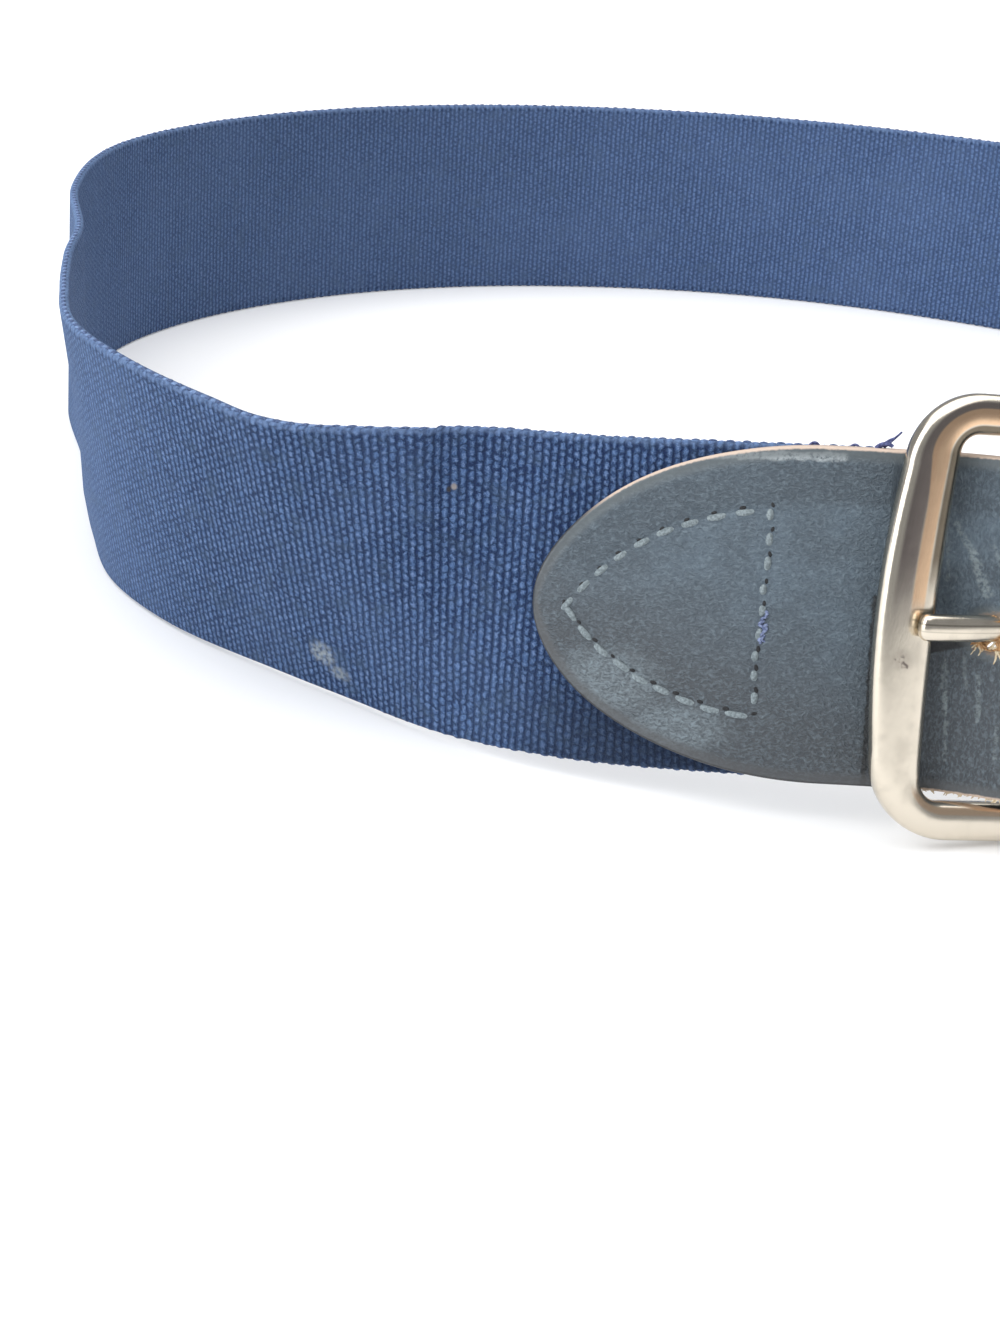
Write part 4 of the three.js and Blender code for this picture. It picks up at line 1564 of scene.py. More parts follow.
@dataclass(frozen=True)
class Seam:
    """The seam of a lobe: two bent lines that meet near its tip and one line across it.

    Every place is the distance from the lobe's tip and the place across the strap, in millimetres.
    """

    meet: Pair = (4.66, -0.2)
    upper_bend: Pair = (14.1, 12.35)
    upper_end: Pair = (31.6, 14.5)
    lower_bend: Pair = (13.8, -12.1)
    lower_end: Pair = (30.4, -13.4)
    intervals: int = 9
    cross_holes: tuple[Pair, ...] = (
        (31.7, 11.3), (31.5, 8.0), (31.2, 4.4), (31.05, 1.45),
        (31.0, -1.6), (30.55, -4.7), (30.4, -7.2), (30.5, -10.2),
    )
    thread: float = 0.46
    thread_flat: float = 0.55
    sunk: float = 0.28
    spans: tuple[Pair, ...] = ((-0.26, 0.50), (-0.10, 0.82), (0.10, 0.66))

    def bent(self, bend: Pair, end: Pair) -> np.ndarray:
        """The holes of one bent line, from the meeting point on.

        Args:
            bend: The point that the line bends towards.
            end: Its last hole.

        Returns:
            Rows of (from the tip, across).
        """
        share = np.linspace(0, 1, self.intervals + 1)[:, None]
        turned = 2 * share * (1 - share) * np.array(bend)
        return (1 - share) ** 2 * np.array(self.meet) + turned + share**2 * np.array(end)

    def lines(self) -> list[np.ndarray]:
        """The three lines of holes.

        Returns:
            Rows of (from the tip, across) for each line.
        """
        upper = self.bent(self.upper_bend, self.upper_end)
        lower = self.bent(self.lower_bend, self.lower_end)
        cross = np.array([self.upper_end, *self.cross_holes, self.lower_end])
        return [upper, lower, cross]

    def distance(self, points: np.ndarray) -> np.ndarray:
        """Distance of rows of (from the tip, across) from the seam's nearest line.

        Args:
            points: Rows of (from the tip, across).

        Returns:
            The distance of each row.
        """
        nearest = np.full(len(points), 99.0)
        for line in self.lines():
            for start, end in zip(line, line[1:]):
                run = end - start
                share = np.clip(((points - start) @ run) / float(run @ run), 0, 1)
                nearest = np.minimum(nearest, np.linalg.norm(points - start - np.outer(share, run), axis=1))
        return nearest

    def dashes(self, face: SeamFace) -> list[tuple[np.ndarray, float]]:
        """The stretches of thread that show.

        Args:
            face: The side that the seam is seen from.

        Returns:
            For each stretch its points and how far it stands out, in millimetres.
        """
        rng = random.Random(11)
        found = []
        share = np.linspace(0, 1, 7)[:, None]
        for which, line in enumerate(self.lines()):
            for start, end in zip(line, line[1:]):
                run = end - start
                if face is SeamFace.INNER:
                    found.append((start + run * (0.08 + 0.84 * share), 0.1))
                    continue
                offset = np.array([-0.25, 0.0]) if which == 2 else np.array([0.0, -0.58])
                low = self.spans[which][0] + rng.uniform(-0.04, 0.04)
                high = self.spans[which][1] + rng.uniform(-0.05, 0.05)
                sway = np.sin(share * math.pi) * rng.uniform(-0.12, 0.12)
                found.append((start + offset + run * (low + (high - low) * share) + sway, 0.04))
        return found

    def stitches(
        self,
        name: str,
        face: SeamFace,
        lay: Lay,
        materials: Sequence[Material],
        slot: str,
    ) -> bpy.types.Object:
        """Builds the seam's threads.

        Args:
            name: The piece's name.
            face: The side that the seam is seen from.
            lay: Gives points in the frame from rows of (from the tip, across) and heights over the surface.
            materials: The thread's finish.
            slot: A material slot's name; it is not used.

        Returns:
            The piece.
        """
        meshes = []
        rise = np.sin(np.linspace(0, 1, 7) * math.pi) ** 0.6
        for flat, out in self.dashes(face):
            path = np.column_stack([flat, (self.sunk + out) * rise - self.sunk])
            rings = tube_rings(path, self.thread * (0.5 + 0.5 * rise), 8, self.thread_flat)
            mesh = Section.sweep(rings, closed=False)
            points = points_of(mesh)
            move_points(mesh, lay(points[:, :2], points[:, 2]))
            meshes.append(mesh)
        mesh = join(meshes)
        return finish_piece(name, mesh, materials, sharp=75)

    def holes(
        self,
        name: str,
        lay: Lay,
        materials: Sequence[Material],
        slot: str,
    ) -> bpy.types.Object:
        """Builds the small dark slits where the needle went through; their dark is painted shade in the
        holes.

        Args:
            name: The piece's name.
            lay: Puts flat points on the face.
            materials: Its materials.
            slot: A material slot's name; it is not used.

        Returns:
            The object, riding on the belt.
        """
        rng = random.Random(3)
        meshes = []
        # Dark ovals: painted shade in the needle holes
        for line in self.lines():
            for (start, after), turn_from in zip(zip(line, line[1:]), line):
                angle = math.atan2(after[1] - turn_from[1], after[0] - turn_from[0])
                angle += rng.uniform(-0.4, 0.4)
                meshes.append(self.slit(start, angle, rng.uniform(0.85, 1.15), lay))
        meshes.append(self.slit(self.lines()[2][-1], 0.3, 1.0, lay))
        mesh = join(meshes)
        return finish_piece(name, mesh, materials, sharp=75)

    @staticmethod
    def slit(at: np.ndarray, angle: float, size: float, lay: Lay) -> Mesh:
        """One flat oval that lies in the surface.

        Args:
            at: Its place.
            angle: The angle that it is turned by.
            size: Its share of full size.
            lay: Puts flat points on the face.

        Returns:
            The mesh.
        """
        mesh = bmesh.new()
        bmesh.ops.create_icosphere(mesh, subdivisions=2, radius=1.0)
        points = points_of(mesh) * np.array([0.42 * size, 0.25 * size, 0.14])
        cos, sin = math.cos(angle), math.sin(angle)
        turned = points[:, :2] @ np.array([[cos, sin], [-sin, cos]])
        move_points(mesh, lay(turned + at, points[:, 2] - 0.03))
        return mesh


@dataclass
class LeatherTab:
    """The leather strap with its sewn lobe, its holes and its free tip."""

    loop: StandingLoop
    step: float = 0.7
    edge_round: float = 0.5
    tip_length: float = 30.0
    tip_bulge: float = 0.52
    hole_pitch: float = 20.0
    hole_count: int = 5
    hole_diameter: float = 4.2
    worn_length: float = 8.4
    worn_width: float = 4.2
    worn_across: float = -0.45
    crease_margin: float = 1.5
    tangle: int = 11
    fibres: int = 90
    fibres_hanging: int = 16
    fibres_over_prong: int = 60
    fuzz: int = 70
    seam: Seam = Seam()

    def level(self, along: np.ndarray) -> np.ndarray:
        """Height of the tab's inner face along the strap.

        Args:
            along: Places along the strap.

        Returns:
            The height at each place.
        """
        sizes = LAYERS
        rows = (
            (-sizes.fold_length - sizes.fold_ramp, sizes.on_web),
            (-sizes.fold_length - sizes.run_out, sizes.on_fold),
            (-sizes.fold_ramp - sizes.run_out, sizes.on_fold),
            (-sizes.heel_bar * 0.75, sizes.over_heel),
            (sizes.heel_bar, sizes.over_heel),
            (sizes.bar_spacing - sizes.front_bar / 2 - sizes.run_out / 2, sizes.on_web),
        )
        return eased(along, rows)

    def width_share(self, along: np.ndarray) -> np.ndarray:
        """Share of the half width at places along the tab.

        Args:
            along: Places along the strap.

        Returns:
            The share at each place.
        """
        tip = lobe_share(along + LAYERS.tab_tail, self.tip_length, self.tip_bulge)
        lobe = lobe_share(LAYERS.lobe_tip - along, LAYERS.lobe_length, LAYERS.lobe_bulge)
        return np.minimum(tip, lobe)

    def edge_distance(self, along: np.ndarray, across: np.ndarray) -> np.ndarray:
        """Distance from the tab's outline, from how steeply its width changes there.

        Args:
            along: Places along the strap.
            across: Places across it.

        Returns:
            The distance of each point.
        """
        half = LAYERS.belt_width / 2
        width = half * self.width_share(along)
        slope = half * (self.width_share(along + 0.05) - self.width_share(along - 0.05)) / 0.1
        return np.maximum(width - np.abs(across), 0) / np.sqrt(1 + slope**2)

    def hole_places(self) -> list[float]:
        """Places of the holes along the strap, the worn one first."""
        return [LAYERS.worn_hole - i * self.hole_pitch for i in range(self.hole_count)]

    def strap(self, material: Material) -> bpy.types.Object:
        """Builds the strap itself.

        Args:
            material: Its material.

        Returns:
            The object, riding on the belt.
        """
        half = LAYERS.belt_width / 2
        rows = edge_rows(half, (0.0, 0.1, 0.25, 0.5, 0.9, 1.2, 1.5, 1.8, 2.3), 60)
        ends = (0.05 - LAYERS.tab_tail, LAYERS.lobe_tip - 0.05)
        mesh = slab(ends, self.step, rows, LAYERS.tab_thickness, ease_ends=0.35)
        cutters = []
        for i, place in enumerate(self.hole_places()):
            length = self.worn_length if i == 0 else self.hole_diameter + 0.02
            width = self.worn_width if i == 0 else self.hole_diameter
            across = self.worn_across if i == 0 else 0.0
            cutters.append(slotted_hole(place, across, length, width, 4 * LAYERS.tab_thickness))
        points = points_of(mesh)
        points[:, 1] *= half * self.width_share(points[:, 0])
        move_points(mesh, points)
        mesh = punched(mesh, cutters)
        points = points_of(mesh)
        rim = self.edge_distance(points[:, 0], points[:, 1])
        rim = np.where((points[:, 0] < ends[0] + 0.01) | (points[:, 0] > ends[1] - 0.01), 0.0, rim)
        hole = self.hole_distance(points)
        near = np.minimum(rim, np.where(hole < 0.06, 0.0, hole + 0.2))
        outer = points[:, 2] > 0
        crease = 0.05 * np.exp(-(((rim - self.crease_margin) / 0.5) ** 2)) * outer
        from_seam = self.seam.distance(np.stack([LAYERS.lobe_tip - points[:, 0], points[:, 1]], axis=1))
        crease += 0.14 * np.exp(-((from_seam / 0.7) ** 2)) * outer
        shaped = points.copy()
        shaped[:, 2] -= np.sign(points[:, 2]) * rounding(near, self.edge_round) + crease
        shaped[:, 2] += self.wrinkles(points) * outer
        mark(mesh, points, near)
        shaped[:, 2] += self.level(points[:, 0]) + LAYERS.tab_thickness / 2
        move_points(mesh, self.loop.bend(shaped))
        return finish_piece("tab_strap", mesh, [material], ["leather_tab"], mirrored=True)

    def hole_distance(self, points: np.ndarray) -> np.ndarray:
        """Distance of flat points from the nearest hole's wall.

        Args:
            points: Rows of (along, across) on the flat strap.

        Returns:
            The distance of each point.
        """
        nearest = np.full(len(points), 99.0)
        for i, place in enumerate(self.hole_places()):
            length = self.worn_length if i == 0 else self.hole_diameter
            width = self.worn_width if i == 0 else self.hole_diameter
            reach = (length - width) / 2
            beyond = np.maximum(np.abs(points[:, 0] - place) - reach, 0)
            across = points[:, 1] - (self.worn_across if i == 0 else 0.0)
            distance = np.abs(np.hypot(beyond, across) - width / 2)
            nearest = np.minimum(nearest, distance)
        return nearest

    def wrinkles(self, points: np.ndarray) -> np.ndarray:
        """Shallow folds that run across the tab where it bends in the buckle.

        Args:
            points: Rows of (along, across) on the flat strap.

        Returns:
            The height at each point.
        """
        bend = np.exp(-(((points[:, 0] - 11.0) / 8.0) ** 2))
        ripple = np.sin(points[:, 0] * 1.5 + 0.12 * points[:, 1]) * np.sin(points[:, 1] * 0.21 + 1.0)
        return 0.07 * bend * ripple

    def outer_face(self, flat: np.ndarray, over: np.ndarray) -> np.ndarray:
        """Points in the frame, from rows of (from the lobe's tip, across) and heights over its face.

        Args:
            flat: Rows of (from the tip, across).
            over: Height of each over the face.

        Returns:
            The points.
        """
        along = LAYERS.lobe_tip - flat[:, 0]
        out = self.level(along) + LAYERS.tab_thickness - 0.1 + over
        return self.loop.bend(np.stack([along, flat[:, 1], out], axis=1))

    def web_back(self, flat: np.ndarray, over: np.ndarray) -> np.ndarray:
        """The same on the web's inner face, behind the lobe.

        Args:
            flat: Rows of (from the tip, across).
            over: Height of each over the face.

        Returns:
            The points.
        """
        along = LAYERS.lobe_tip - flat[:, 0]
        out = -LAYERS.web_thickness / 2 - over
        return self.loop.bend(np.stack([along, flat[:, 1], out], axis=1))

    def frayed_seam(self, material: Material) -> bpy.types.Object:
        """Builds the tangle of blue thread where the line across has worn through.

        Args:
            material: Its material.

        Returns:
            The object, riding on the belt.
        """
        rng = random.Random(23)
        meshes = []
        share = np.linspace(0, 1, 7)
        for i in range(self.tangle):
            down = rng.uniform(-0.3, 0.5) - 0.36 * i
            lean = rng.uniform(-0.7, 0.7)
            path = np.stack([
                31.0 + rng.uniform(-0.35, 0.45) + lean * (share - 0.5) + 0.25 * np.sin(share * 5 + i),
                down - rng.uniform(0.6, 1.2) * share,
                -0.1 + 0.24 * np.sin(share * math.pi),
            ], axis=1)
            mesh = strand(path, 0.25, 0.17, 6)
            points = points_of(mesh)
            move_points(mesh, self.outer_face(points[:, :2], points[:, 2]))
            meshes.append(mesh)
        mesh = join(meshes)
        return finish_piece("tab_frayed_thread", mesh, [material], sharp=75)

    def torn_fibres(self, brown: Material, cream: Material) -> bpy.types.Object:
        """Builds the worn hole's torn fibres: brown ones over the prong and cream ones hanging down.

        Args:
            brown: Material of the brown fibres.
            cream: Material of the pale ones.

        Returns:
            The object, riding on the belt.
        """
        rng = random.Random(31)
        reach = (self.worn_length - self.worn_width) / 2
        meshes = []
        share = np.linspace(0, 1, 6)
        for i in range(self.fibres):
            hanging = i < self.fibres_hanging
            over_prong = self.fibres_hanging <= i < self.fibres_over_prong
            turn = rng.uniform(-1.9, -0.9) if hanging or i % 3 == 0 else rng.uniform(-1.7, 1.7)
            middle = LAYERS.worn_hole + reach - (0.0 if math.cos(turn) > 0.2 else rng.uniform(0.0, 3.0))
            wide = self.worn_width / 2
            root = np.array([middle + wide * math.cos(turn), self.worn_across + wide * math.sin(turn)])
            spin = turn + rng.uniform(-0.35, 0.35) if hanging else turn + rng.uniform(-1.5, 1.5)
            inward = math.pi / 2 if turn < -0.9 else math.pi
            spin = inward + rng.uniform(-0.8, 0.8) if over_prong else spin
            length = rng.uniform(0.9, 2.1) if hanging or over_prong else rng.uniform(0.35, 0.9)
            curl = rng.uniform(-0.5, 0.5)
            along = root[0] + length * math.cos(spin) * share + curl * share**2
            across = root[1] + length * math.sin(spin) * share - curl * share * 0.6
            rise = rng.uniform(0.5, 1.1) if over_prong and turn > -0.9 else rng.uniform(0.1, 0.3)
            over = LAYERS.tab_thickness - 0.3 + rise * np.sin(share * 2.4)
            path = np.stack([along, across, self.level(along) + over], axis=1)
            radius = rng.uniform(0.22, 0.42) if over_prong else rng.uniform(0.12, 0.26)
            meshes.append(strand(path, radius, radius * 0.4, 5, finish=1 if hanging or i % 7 == 3 else 0))
        meshes += self.edge_fuzz(rng)
        mesh = join(meshes)
        move_points(mesh, self.loop.bend(points_of(mesh)))
        return finish_piece("tab_torn_fibres", mesh, [brown, cream], sharp=75)

    def edge_fuzz(self, rng: random.Random) -> list[Mesh]:
        """The pale fuzz along the tab's lower edge inside the buckle, still flat.

        Args:
            rng: The draws that it shares with the torn fibres.

        Returns:
            A mesh for each fibre.
        """
        found = []
        share = np.linspace(0, 1, 4)
        for _ in range(self.fuzz):
            start = rng.uniform(4.0, 23.5)
            along = start + rng.uniform(-0.5, 0.5) * share
            across = 0.15 - LAYERS.belt_width / 2 - rng.uniform(0.15, 0.55) * share
            over = LAYERS.tab_thickness - rng.uniform(0.25, 0.7) + 0.2 * share
            path = np.stack([along, across, self.level(along) + over], axis=1)
            found.append(strand(path, 0.13, 0.05, 4, finish=1))
        return found


@dataclass
class FoldedEnd:
    """The leather folded round the heel bar, and the keeper over the layers behind it."""

    loop: StandingLoop
    step: float = 1.2
    edge_round: float = 0.5
    slot_width: float = 5.2
    slot_half_length: float = 7.0
    keeper_place: float = 26.0
    keeper_width: float = 9.0
    keeper_wall: float = 1.8

    @property
    def arc(self) -> float:
        """Length of the half turn round the heel bar, at the middle of the leather."""
        return math.pi * LAYERS.fold_radius

    def unrolled(self, length: np.ndarray, depth: np.ndarray) -> tuple[np.ndarray, np.ndarray]:
        """Puts the unrolled leather round the heel bar.

        Args:
            length: Place along the unrolled leather, 0 at the fold's middle, the outer leaf below 0.
            depth: Height out of the leather's middle.

        Returns:
            Place along the strap and height out of it.
        """
        sizes = LAYERS
        leaf = sizes.on_web + sizes.fold_thickness / 2
        half_arc = self.arc / 2
        angle = np.clip(-length / half_arc, -1, 1) * math.pi / 2
        round_x = (sizes.fold_radius + depth) * np.cos(angle)
        round_z = sizes.heel_height + (sizes.fold_radius + depth) * np.sin(angle)
        away = np.maximum(np.abs(length) - half_arc, 0)
        side = np.where(length < 0, 1.0, -1.0)
        start = sizes.heel_height + side * sizes.fold_radius
        flat = smoothstep(away, 0, sizes.fold_ramp)
        level = start + (side * leaf - start) * flat
        on_leaf = np.abs(length) > half_arc
        return np.where(on_leaf, -away, round_x), np.where(on_leaf, level + side * depth, round_z)

    def leather(self, material: Material) -> bpy.types.Object:
        """Builds the folded leather.

        Args:
            material: Its material.

        Returns:
            The object, riding on the belt.
        """
        half = LAYERS.belt_width / 2
        reach = LAYERS.fold_length + self.arc / 2
        rows = edge_rows(half, (0.0, 0.1, 0.25, 0.5, 1.0), 22)
        mesh = slab((0.05 - reach, reach - 0.05), self.step, rows, LAYERS.fold_thickness, ease_ends=0.3)
        points = points_of(mesh)
        share = lobe_share(reach - np.abs(points[:, 0]), LAYERS.lobe_length, LAYERS.lobe_bulge)
        points[:, 1] *= half * share
        move_points(mesh, points)
        slot = 2 * (self.slot_half_length + self.arc / 2)
        mesh = punched(mesh, [slotted_hole(0.0, 0.0, slot, self.slot_width, 4 * LAYERS.fold_thickness)])
        points = points_of(mesh)
        share = lobe_share(reach - np.abs(points[:, 0]), LAYERS.lobe_length, LAYERS.lobe_bulge)
        rim = np.maximum(half * share - np.abs(points[:, 1]), 0)
        rim = np.where(np.abs(points[:, 0]) > reach - 0.06, 0.0, rim)
        depth = points[:, 2] - np.sign(points[:, 2]) * rounding(rim, self.edge_round)
        mark(mesh, points, rim)
        along, out = self.unrolled(points[:, 0], depth)
        move_points(mesh, self.loop.bend(np.stack([along, points[:, 1], out], axis=1)))
        return finish_piece("fold_leather", mesh, [material], ["buckle_fold"])

    def inner_face(self, flat: np.ndarray, over: np.ndarray) -> np.ndarray:
        """Points in the frame, from rows of (from the leaf's tip, across) and heights over the leaf.

        Args:
            flat: Rows of (from the tip, across).
            over: Height of each over the face.

        Returns:
            The points.
        """
        along = flat[:, 0] - LAYERS.fold_length
        out = -LAYERS.on_web - LAYERS.fold_thickness - over
        return self.loop.bend(np.stack([along, flat[:, 1], out], axis=1))

    def keeper(self, material: Material) -> bpy.types.Object:
        """Builds the keeper as a closed band round the layers.

        Args:
            material: Its material.

        Returns:
            The object, riding on the belt.
        """
        sizes = LAYERS
        low = -sizes.on_fold
        high = sizes.on_fold + sizes.tab_thickness + sizes.gap
        half = sizes.belt_width / 2 + sizes.gap
        section = Section.round_bar(20, 5.0)
        rings = []
        for y, z in Section.round_bar(72, 2 / 0.14):
            grow = self.keeper_wall * (section[:, 1] + 1) / 2
            ring_y = y * (half + grow)
            ring_z = (low + high) / 2 + z * ((high - low) / 2 + grow)
            ring_x = -self.keeper_place + section[:, 0] * self.keeper_width / 2
            rings.append(np.stack([ring_x, ring_y, ring_z], axis=1))
        rings.append(rings[0])
        mesh = Section.sweep(rings, closed=True)
        points = points_of(mesh)
        rim = self.keeper_width / 2 - np.abs(points[:, 0] + self.keeper_place)
        mark(mesh, points, np.maximum(rim, 0))
        move_points(mesh, self.loop.bend(points))
        return finish_piece("keeper_band", mesh, [material], ["keeper_loop"])


@dataclass
class Buckle:
    """The polished frame with its heel bar, and the prong."""

    loop: StandingLoop
    frame_height: float = 59.2
    frame_rise: float = 0.2
    frame_corner: float = 12.0
    heel_corner: float = 4.0
    upper_corner: float = 9.8
    window_corner: float = 3.2
    upper_window_corner: float = 2.3
    swell_out: float = 0.3
    swell_in: float = 0.6
    window_heel_corner: float = 1.0
    frame_skew: float = 2.1
    prong_width: float = 3.6
    prong_thickness: float = 2.3
    prong_drop: float = 0.5
    prong_overrun: float = 0.2
    eye_wall: float = 1.5
    eye_clearance: float = 0.5
    seat_gap: float = 0.25
    place: Matrix = field(init=False)

    def __post_init__(self) -> None:
        """Finds where the frame lies on the strap."""
        sizes = LAYERS
        ends = np.array([
            [0.0, self.frame_rise, sizes.heel_height],
            [sizes.bar_spacing, self.frame_rise, sizes.front_bar_height],
        ])
        heel, front = (Vector(point) for point in self.loop.bend(ends))
        x = (heel - front).normalized()
        _, across, _ = self.loop.station(np.array([sizes.bar_spacing / 2]))
        z = x.cross(Vector(across[0])).normalized()
        y = z.cross(x)
        turn = Matrix((x, y, z)).transposed().to_4x4()
        skew = Matrix.Rotation(-math.radians(self.frame_skew), 4, "Z")
        self.place = Matrix.Translation(heel) @ turn @ skew @ Matrix.Scale(MM, 4)

    @staticmethod
    def outline(
        left: float, right: float, half: float, corners: Triple, bow: float, count: int
    ) -> np.ndarray:
        """A rounded outline whose left side bulges.

        Args:
            left: Its least x, before the bow.
            right: Its greatest x.
            half: Half its height.
            corners: Radii of the lower left, the upper left and the right corners.
            bow: How far the left side bulges.
            count: Points in each side and in each corner.

        Returns:
            Rows of x and y, in order round the outline.
        """
        low_corner, high_corner, right_corner = corners
        share = np.linspace(0, 1, count, endpoint=False)

        def corner(x: float, y: float, radius: float, start: float) -> np.ndarray:
            """A quarter turn from a start angle in degrees."""
            turn = np.radians(start + 90 * share)
            return np.stack([x + radius * np.cos(turn), y + radius * np.sin(turn)], axis=1)

        def side(a: Pair, b: Pair, bulge: float) -> np.ndarray:
            """A straight side, or one that bulges towards -x."""
            line = np.outer(1 - share, a) + np.outer(share, b)
            line[:, 0] -= 4 * bulge * share * (1 - share)
            return line

        return np.concatenate([
            side((left + low_corner, -half), (right - right_corner, -half), 0),
            corner(right - right_corner, right_corner - half, right_corner, -90),
            side((right, right_corner - half), (right, half - right_corner), 0),
            corner(right - right_corner, half - right_corner, right_corner, 0),
            side((right - right_corner, half), (left + high_corner, half), 0),
            corner(left + high_corner, half - high_corner, high_corner, 90),
            side((left, half - high_corner), (left, low_corner - half), bow),
            corner(left + low_corner, low_corner - half, low_corner, 180),
        ])

    @staticmethod
    def bar_share(points: np.ndarray, outer: np.ndarray, inner: np.ndarray) -> np.ndarray:
        """Place of points across the bar, from -1 at the window to 1 at the outside.

        Args:
            points: Points of the bar.
            outer: The outer outline, as rows.
            inner: The window's outline, as rows.

        Returns:
            The place of each point.
        """
        middle = (outer + inner) / 2
        reach = (outer - inner) / 2
        size = np.linalg.norm(reach, axis=1)
        moved = points[:, None, :2] - middle[None]
        off = np.abs(moved[:, :, 0] * reach[:, 1] - moved[:, :, 1] * reach[:, 0]) / size
        ring = np.argmin(off + 0.02 * np.linalg.norm(moved, axis=2), axis=1)
        rows = np.arange(len(points))
        return np.sum(moved[rows, ring] * reach[ring], axis=1) / size[ring] ** 2

    def bar(self, material: Material) -> bpy.types.Object:
        """Builds the frame as one rounded bar carried round the two outlines.

        Args:
            material: Its material.

        Returns:
            The object, riding on the belt.
        """
        sizes = LAYERS
        left = -sizes.bar_spacing - sizes.front_bar / 2
        half = self.frame_height / 2
        outer = self.outline(
            left - self.swell_out,
            sizes.heel_bar / 2,
            half,
            (self.frame_corner, self.upper_corner, self.heel_corner),
            sizes.frame_bow,
            18,
        )
        inner = self.outline(
            left + sizes.front_bar + self.swell_in,
            -sizes.heel_bar / 2,
            half - sizes.side_bar - self.swell_in,
            (self.window_corner, self.upper_window_corner, self.window_heel_corner),
            sizes.frame_bow / 2,
            18,
        )
        section = Section.round_bar(24, 2.9)
        rings = []
        for a, b in zip(outer, inner):
            middle = (a + b) / 2
            reach = (a - b) / 2
            flat = middle + np.outer(section[:, 0], reach)
            rings.append(np.column_stack([flat, section[:, 1] * sizes.frame_depth / 2]))
        rings.append(rings[0])
        mesh = Section.sweep(rings, closed=True)
        points = points_of(mesh)
        mark(mesh, points, self.bar_share(points, outer, inner))
        mesh.transform(self.place)
        return finish_piece("buckle_bar", mesh, [material], ["buckle_frame"])

    def spine(self, count: int) -> np.ndarray:
        """The prong's middle line from the eye to the tip, as rows of x and z in the frame's own place.

        Args:
            count: Number of points.

        Returns:
            The rows.
        """
        sizes = LAYERS
        seat = sizes.frame_depth / 2 + self.seat_gap + self.prong_thickness / 2
        inner = sizes.heel_bar / 2 + self.eye_clearance
        knots = np.array([
            (-inner - self.eye_wall / 2, 0.0),
            (-0.33 * sizes.bar_spacing, 0.16 * seat),
            (-sizes.worn_hole, 0.42 * seat),
            (-0.71 * sizes.bar_spacing, 0.84 * seat),
            (-0.87 * sizes.bar_spacing, seat),
            (-sizes.bar_spacing - self.prong_overrun, seat),
        ])
        wide = np.concatenate([knots[:1], knots, knots[-1:]])
        at = np.linspace(0, len(knots) - 1, count)
        low = np.minimum(at.astype(int), len(knots) - 2)
        t = (at - low)[:, None]
        a, b, c, d = (wide[low + i] for i in range(4))
        v0, v1 = (c - a) / 2, (d - b) / 2
        return (2 * b - 2 * c + v0 + v1) * t**3 + (-3 * b + 3 * c - 2 * v0 - v1) * t**2 + v0 * t + b

    def prong(self, material: Material) -> bpy.types.Object:
        """Builds the prong: a shaft with a rounded tip, and an eye round the heel bar.

        Args:
            material: Its material.

        Returns:
            The object, riding on the belt.
        """
        sizes = LAYERS
        section = Section.round_bar(20, 2.5)
        spine = self.spine(60)
        tangents = np.gradient(spine, axis=0)
        tangents /= np.linalg.norm(tangents, axis=1, keepdims=True)
        closing = np.array([0.45, 0.70, 0.85, 0.94, 0.985])
        rings = []
        for i, (point, tangent) in enumerate(zip(spine, tangents)):
            left = len(spine) - 1 - i
            fit = closing[left] if left < len(closing) else 1.0
            wide = self.prong_width / 2 * fit
            thick = self.prong_thickness / 2 * fit
            normal = np.array([-tangent[1], tangent[0]])
            place = point + np.outer(section[:, 1] * thick, normal)
            rings.append(np.column_stack([place[:, 0], section[:, 0] * wide, place[:, 1]]))
        shaft = Section.sweep(rings, closed=False)
        middle = sizes.heel_bar / 2 + self.eye_clearance + self.eye_wall / 2
        turns = np.linspace(0, 2 * math.pi, 40, endpoint=False)
        eye_rings = []
        for turn in turns:
            radius = middle + section[:, 1] * self.eye_wall / 2
            wide = section[:, 0] * self.prong_width / 2
            eye_rings.append(np.column_stack([radius * math.cos(turn), wide, radius * math.sin(turn)]))
        eye_rings.append(eye_rings[0])
        eye = Section.sweep(eye_rings, closed=True)
        mesh = join([shaft, eye])
        bmesh.ops.translate(mesh, vec=(0, -self.prong_drop, 0), verts=mesh.verts)
        points = points_of(mesh)
        mark(mesh, points, np.zeros(len(points)))
        mesh.transform(self.place)
        return finish_piece("prong_shaft", mesh, [material], ["prong"])


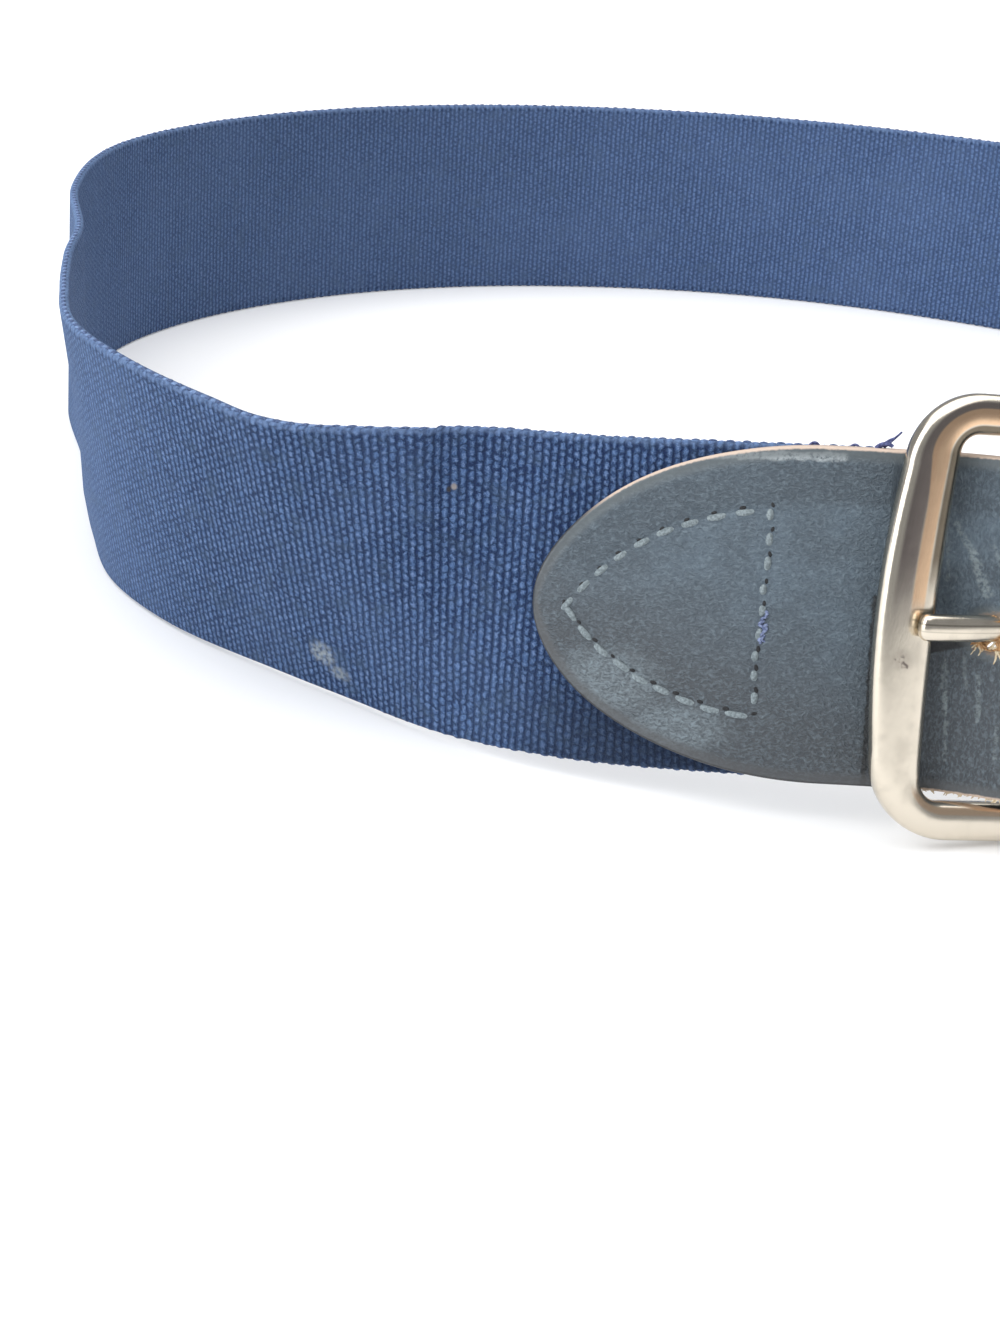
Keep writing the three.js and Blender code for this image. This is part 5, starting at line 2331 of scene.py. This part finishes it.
@dataclass
class Studio:
    """The pale floor, the soft lights and the camera.

    Args:
        loop: The standing loop, whose origin the camera is measured from.
    """

    loop: StandingLoop
    eye: Triple = (-39.0, -411.0, 139.0)
    pitch: float = 23.1
    roll: float = 3.6
    focal_pixels: float = 2300.0
    image_height: float = 1333.0
    sensor: float = 36.0
    floor_half: float = 4.0
    floor_glow: float = 0.18
    surroundings: float = 0.34

    def floor(self) -> None:
        """Builds the floor that the belt stands on."""
        mesh = bmesh.new()
        bmesh.ops.create_grid(mesh, x_segments=2, y_segments=2, size=self.floor_half)
        data = bpy.data.meshes.new("floor")
        mesh.to_mesh(data)
        mesh.free()
        material, _, _ = new_material(
            "pale_floor",
            base_color=(0.84, 0.84, 0.845, 1.0),
            roughness=0.75,
            specular_ior_level=0.2,
            emission_color=(1.0, 1.0, 1.0, 1.0),
            emission_strength=self.floor_glow,
        )
        data.materials.append(material)
        floor = bpy.data.objects.new("floor", data)
        bpy.context.collection.objects.link(floor)

    def light(
        self,
        name: str,
        at: Triple,
        aim: Triple,
        size: float,
        watts: float,
        colour: Triple,
    ) -> None:
        """Adds one square soft light.

        Args:
            name: The light's name.
            at: Its place, in metres.
            aim: The point that it faces.
            size: Its side, in metres.
            watts: Its power.
            colour: Its colour.
        """
        data = bpy.data.lights.new(name, "AREA")
        data.shape = "SQUARE"
        data.size = size
        data.energy = watts
        data.color = colour
        lamp = bpy.data.objects.new(name, data)
        lamp.location = at
        lamp.rotation_euler = (Vector(aim) - Vector(at)).to_track_quat("-Z", "Y").to_euler()
        bpy.context.collection.objects.link(lamp)

    def lights(self) -> None:
        """Adds the soft lights and the dim surroundings."""
        self.light("overhead", (-0.2, 0.15, 1.7), (0.0, 0.1, 0.0), 3.2, 62.0, (1.0, 0.995, 0.985))
        self.light("left_front", (-1.6, -0.9, 0.80), (0.0, 0.0, 0.03), 1.7, 27.0, (0.95, 0.98, 1.0))
        world = bpy.data.worlds.new("pale_room")
        world.use_nodes = True
        background = world.node_tree.nodes["Background"]
        background.inputs["Color"].default_value = (0.93, 0.96, 1.0, 1.0)
        background.inputs["Strength"].default_value = self.surroundings
        bpy.context.scene.world = world
        bpy.context.scene.view_settings.view_transform = "Standard"

    def camera(self) -> None:
        """Adds the camera at the photograph's angle."""
        data = bpy.data.cameras.new("camera")
        data.sensor_width = self.sensor
        data.lens = self.focal_pixels * self.sensor / self.image_height
        camera = bpy.data.objects.new("camera", data)
        bpy.context.collection.objects.link(camera)
        down = math.radians(self.pitch)
        turn = math.radians(self.roll)
        ahead = Vector((0, math.cos(down), -math.sin(down)))
        up = Vector((0, math.sin(down), math.cos(down)))
        right = Vector((1, 0, 0))
        level_right = math.cos(turn) * right + math.sin(turn) * up
        level_up = math.cos(turn) * up - math.sin(turn) * right
        place = Vector(self.eye) + Vector(self.loop.origin)
        camera.matrix_world = Matrix.Translation(place * MM) @ Matrix(
            (level_right, level_up, -ahead)
        ).transposed().to_4x4()
        bpy.context.scene.camera = camera


def main() -> None:
    """Builds the belt's pieces in order and sets the studio up."""
    logging.basicConfig(level=logging.INFO, format="%(name)s %(message)s")
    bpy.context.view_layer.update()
    loop = StandingLoop(LAYERS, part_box("elastic_web"))
    LOG.info("loop %.1f mm round, lift %.2f, origin %s", loop.length, loop.lift, loop.origin)

    grain = grain_group()
    web_material = WebFinish().build(weave_group())
    selvedge_pale = PlainFinish("selvedge_pale", (0.19, 0.29, 0.50), (0.10, 0.16, 0.31)).build()
    selvedge_dark = PlainFinish("selvedge_dark", (0.09, 0.14, 0.28), (0.03, 0.055, 0.13)).build()
    navy_thread = PlainFinish("navy_thread", (0.10, 0.12, 0.27), (0.025, 0.03, 0.10)).build()
    violet_thread = PlainFinish("violet_thread", (0.24, 0.29, 0.45), (0.06, 0.08, 0.17)).build()
    seam_thread = PlainFinish("seam_thread", (0.25, 0.295, 0.315), (0.13, 0.16, 0.175)).build()
    torn_leather = PlainFinish("torn_leather", (0.56, 0.33, 0.15), (0.22, 0.105, 0.04)).build()
    torn_cream = PlainFinish("torn_cream", (0.74, 0.64, 0.47), (0.45, 0.33, 0.19)).build()
    # Near-black finish of the needle holes: painted shade
    needle_dark = PlainFinish("needle_dark", (0.020, 0.021, 0.024), (0.008, 0.008, 0.010)).build()
    tab_material = LeatherFinish().build("tab_leather", grain, worn=True)
    fold_material = LeatherFinish().build("fold_leather", grain, worn=False)
    frame_metal = MetalFinish().build("worn_nickel", banded=True)
    prong_metal = MetalFinish().build("bright_nickel", banded=False)

    web = ElasticWeb(loop)
    band = web.band(web_material)
    selvedge = web.selvedges(selvedge_pale, selvedge_dark)
    threads = web.frayed_threads(navy_thread)

    tab = LeatherTab(loop)
    tab.strap(tab_material)
    tab.seam.stitches("tab_stitches", SeamFace.OUTER, tab.outer_face, [seam_thread], "tab_leather")
    tab.seam.holes("tab_needle_holes", tab.outer_face, [needle_dark], "tab_leather")
    tab.seam.stitches("web_back_stitches", SeamFace.INNER, tab.web_back, [seam_thread], "web")
    tab.frayed_seam(violet_thread)
    tab.torn_fibres(torn_leather, torn_cream)

    end = FoldedEnd(loop)
    end.leather(fold_material)
    tab.seam.stitches("fold_stitches", SeamFace.INNER, end.inner_face, [seam_thread], "fold_leather")
    tab.seam.holes("fold_needle_holes", end.inner_face, [needle_dark], "fold_leather")
    end.keeper(fold_material)

    buckle = Buckle(loop)
    buckle.bar(frame_metal)
    buckle.prong(prong_metal)

    studio = Studio(loop)
    studio.floor()
    studio.lights()
    studio.camera()


if __name__ == "__main__":
    main()
